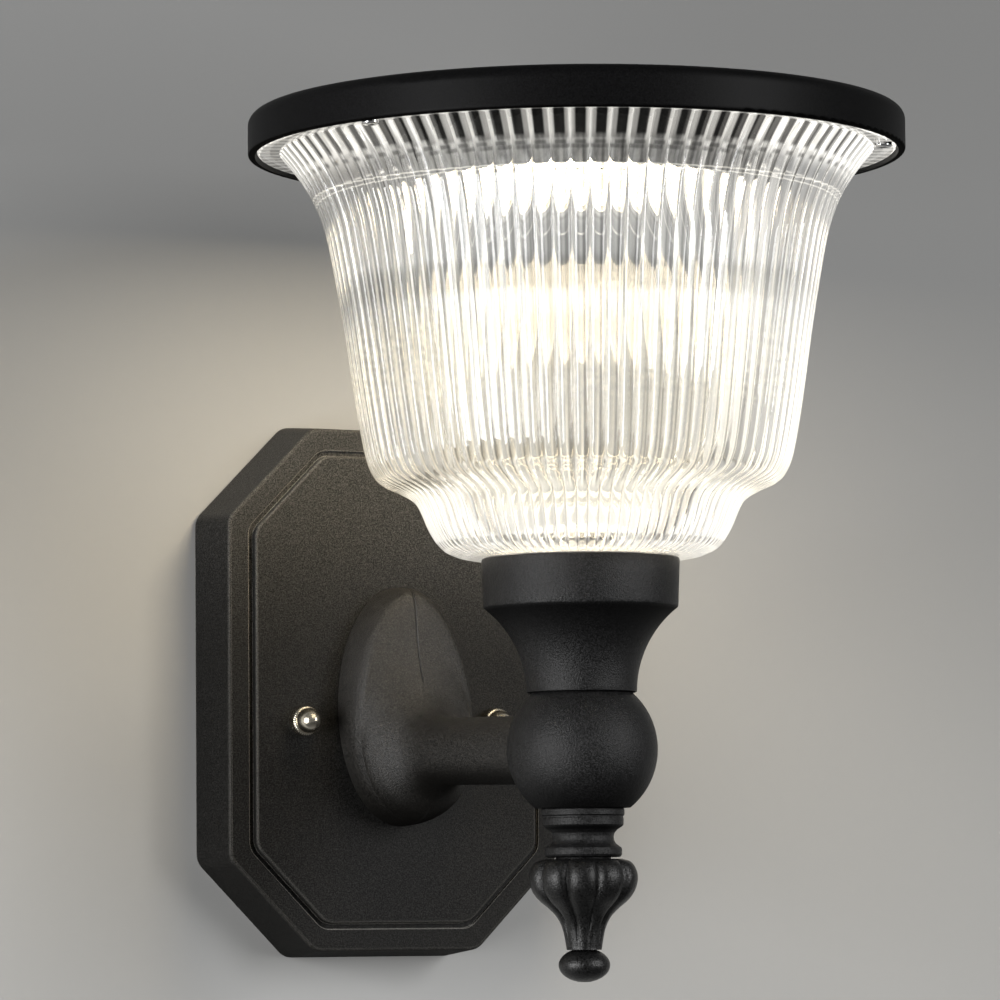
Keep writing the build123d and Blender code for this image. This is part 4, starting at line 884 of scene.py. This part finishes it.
def build_wall():
    """Wall with an opening a little inside the gasket. The plate hides it, and its own back gets light."""
    outline = gasket_outline()
    middle = (Vector(outline[0]) + Vector(outline[4])) / 2
    opening = [middle + (Vector(spot) - middle) * OPENING_SHARE for spot in outline]
    corners = [(-WALL_REACH, FLOOR_PLACE), (WALL_REACH, FLOOR_PLACE), (WALL_REACH, WALL_TOP),
               (-WALL_REACH, WALL_TOP)]
    verts = [(x, WALL_PLACE, z) for x, z in corners + opening]
    faces = []
    for corner in range(4):
        after = (corner + 1) % 4
        first = 4 + 2 * corner
        faces.append((corner, after, first + 1, first))
        faces.append((after, 4 + (2 * corner + 2) % 8, first + 1))
    paint = wall_paint("grey_wall", (0.41, 0.41, 0.405), (0.46, 0.46, 0.45), top=0.62)
    new_mesh("wall_backdrop", verts, faces, paint)


def build_floor():
    corners = [(-FLOOR_REACH, FLOOR_FRONT), (FLOOR_REACH, FLOOR_FRONT), (FLOOR_REACH, FLOOR_BACK),
               (-FLOOR_REACH, FLOOR_BACK)]
    verts = [(x, y, FLOOR_PLACE) for x, y in corners]
    paint = wall_paint("pale_floor", (0.56, 0.56, 0.555), (0.62, 0.62, 0.615))
    new_mesh("floor", verts, [(0, 1, 2, 3)], paint)


build_wall()
build_floor()


def softbox(name, direction, distance, size, power):
    light = bpy.data.lights.new(name, "AREA")
    light.shape = "RECTANGLE"
    light.size, light.size_y = size
    light.energy = power
    obj = bpy.data.objects.new(name, light)
    obj.location = lamp_middle + Vector(direction).normalized() * distance
    obj.rotation_euler = (lamp_middle - obj.location).to_track_quat("-Z", "Y").to_euler()
    bpy.context.collection.objects.link(obj)


# Each softbox has its direction from the lamp, its distance, its size and its power in watts
softbox("left_box", (-0.97, -0.25, -0.06), 1.3, (0.6, 0.9), 22)
softbox("right_box", (0.52, -0.86, 0.20), 1.6, (0.7, 1.0), 19.5)
softbox("back_box", (0.35, 0.85, 0.30), 1.2, (0.5, 0.5), 9)

GLOW_SIZE, GLOW_POWER, GLOW_COLOUR, GLOW_DROP = 0.10, 0.8, (1.0, 0.84, 0.60), 0.001


def build_glow():
    """Warm light that the lit lamp throws down and back on the plate and the wall."""
    light = bpy.data.lights.new("lamp_glow", "AREA")
    light.shape = "DISK"
    light.size = GLOW_SIZE
    light.energy = GLOW_POWER
    light.color = GLOW_COLOUR
    obj = bpy.data.objects.new("lamp_glow", light)
    obj.location = (AXIS.x, AXIS.y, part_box("led_chips")[0].z - GLOW_DROP)
    obj.visible_camera = False
    obj.visible_transmission = False
    bpy.context.collection.objects.link(obj)


build_glow()


FILL_LEVEL = 0.06
BACKGROUND = (0.18, 0.18, 0.178, 1)


def build_world():
    """Weak white fill, and a grey background where it is seen, straight, mirrored or through glass."""
    world = bpy.data.worlds.new("studio")
    bpy.context.scene.world = world
    world.use_nodes = True
    tree = world.node_tree
    tree.nodes.clear()
    out = tree.nodes.new("ShaderNodeOutputWorld")
    path = tree.nodes.new("ShaderNodeLightPath")
    seen = tree.nodes.new("ShaderNodeMath")
    seen.operation = "MAXIMUM"
    more = tree.nodes.new("ShaderNodeMath")
    more.operation = "MAXIMUM"
    tree.links.new(path.outputs["Is Camera Ray"], seen.inputs[0])
    tree.links.new(path.outputs["Is Glossy Ray"], seen.inputs[1])
    tree.links.new(seen.outputs[0], more.inputs[0])
    tree.links.new(path.outputs["Is Transmission Ray"], more.inputs[1])
    fill = tree.nodes.new("ShaderNodeBackground")
    fill.inputs[0].default_value = (1, 1, 1, 1)
    fill.inputs[1].default_value = FILL_LEVEL
    back = tree.nodes.new("ShaderNodeBackground")
    back.inputs[0].default_value = BACKGROUND
    back.inputs[1].default_value = 1.0
    mix = tree.nodes.new("ShaderNodeMixShader")
    tree.links.new(more.outputs[0], mix.inputs[0])
    tree.links.new(fill.outputs[0], mix.inputs[1])
    tree.links.new(back.outputs[0], mix.inputs[2])
    tree.links.new(mix.outputs[0], out.inputs[0])


build_world()


# Camera at the photograph's viewing angle: angles in degrees, lens as shares of the sensor, place in metres
CAMERA_YAW, CAMERA_PITCH, CAMERA_ROLL = -27.949, 4.581, -0.496
LENS_SHARE, SENSOR_WIDTH, CAMERA_CLIP = 5.3059, 36, 20
CAMERA_FROM_BALL = Vector((-0.785, -1.4271, -0.0536))


def build_camera():
    data = bpy.data.cameras.new("view")
    data.sensor_width = SENSOR_WIDTH
    data.lens = SENSOR_WIDTH * LENS_SHARE
    data.clip_end = CAMERA_CLIP
    obj = bpy.data.objects.new("view", data)
    bpy.context.collection.objects.link(obj)
    yaw, pitch, roll = math.radians(CAMERA_YAW), math.radians(CAMERA_PITCH), math.radians(CAMERA_ROLL)
    ahead = Vector((math.sin(-yaw) * math.cos(pitch), math.cos(yaw) * math.cos(pitch), math.sin(pitch)))
    right = ahead.cross(Vector((0, 0, 1))).normalized()
    up = right.cross(ahead)
    rolled_right = right * math.cos(roll) + up * math.sin(roll)
    rolled_up = up * math.cos(roll) - right * math.sin(roll)
    turn = Matrix((rolled_right, rolled_up, -ahead)).transposed().to_4x4()
    obj.matrix_world = Matrix.Translation(CAMERA_FROM_BALL + AXIS) @ turn
    bpy.context.scene.camera = obj


build_camera()
bpy.context.scene.view_settings.view_transform = "Standard"
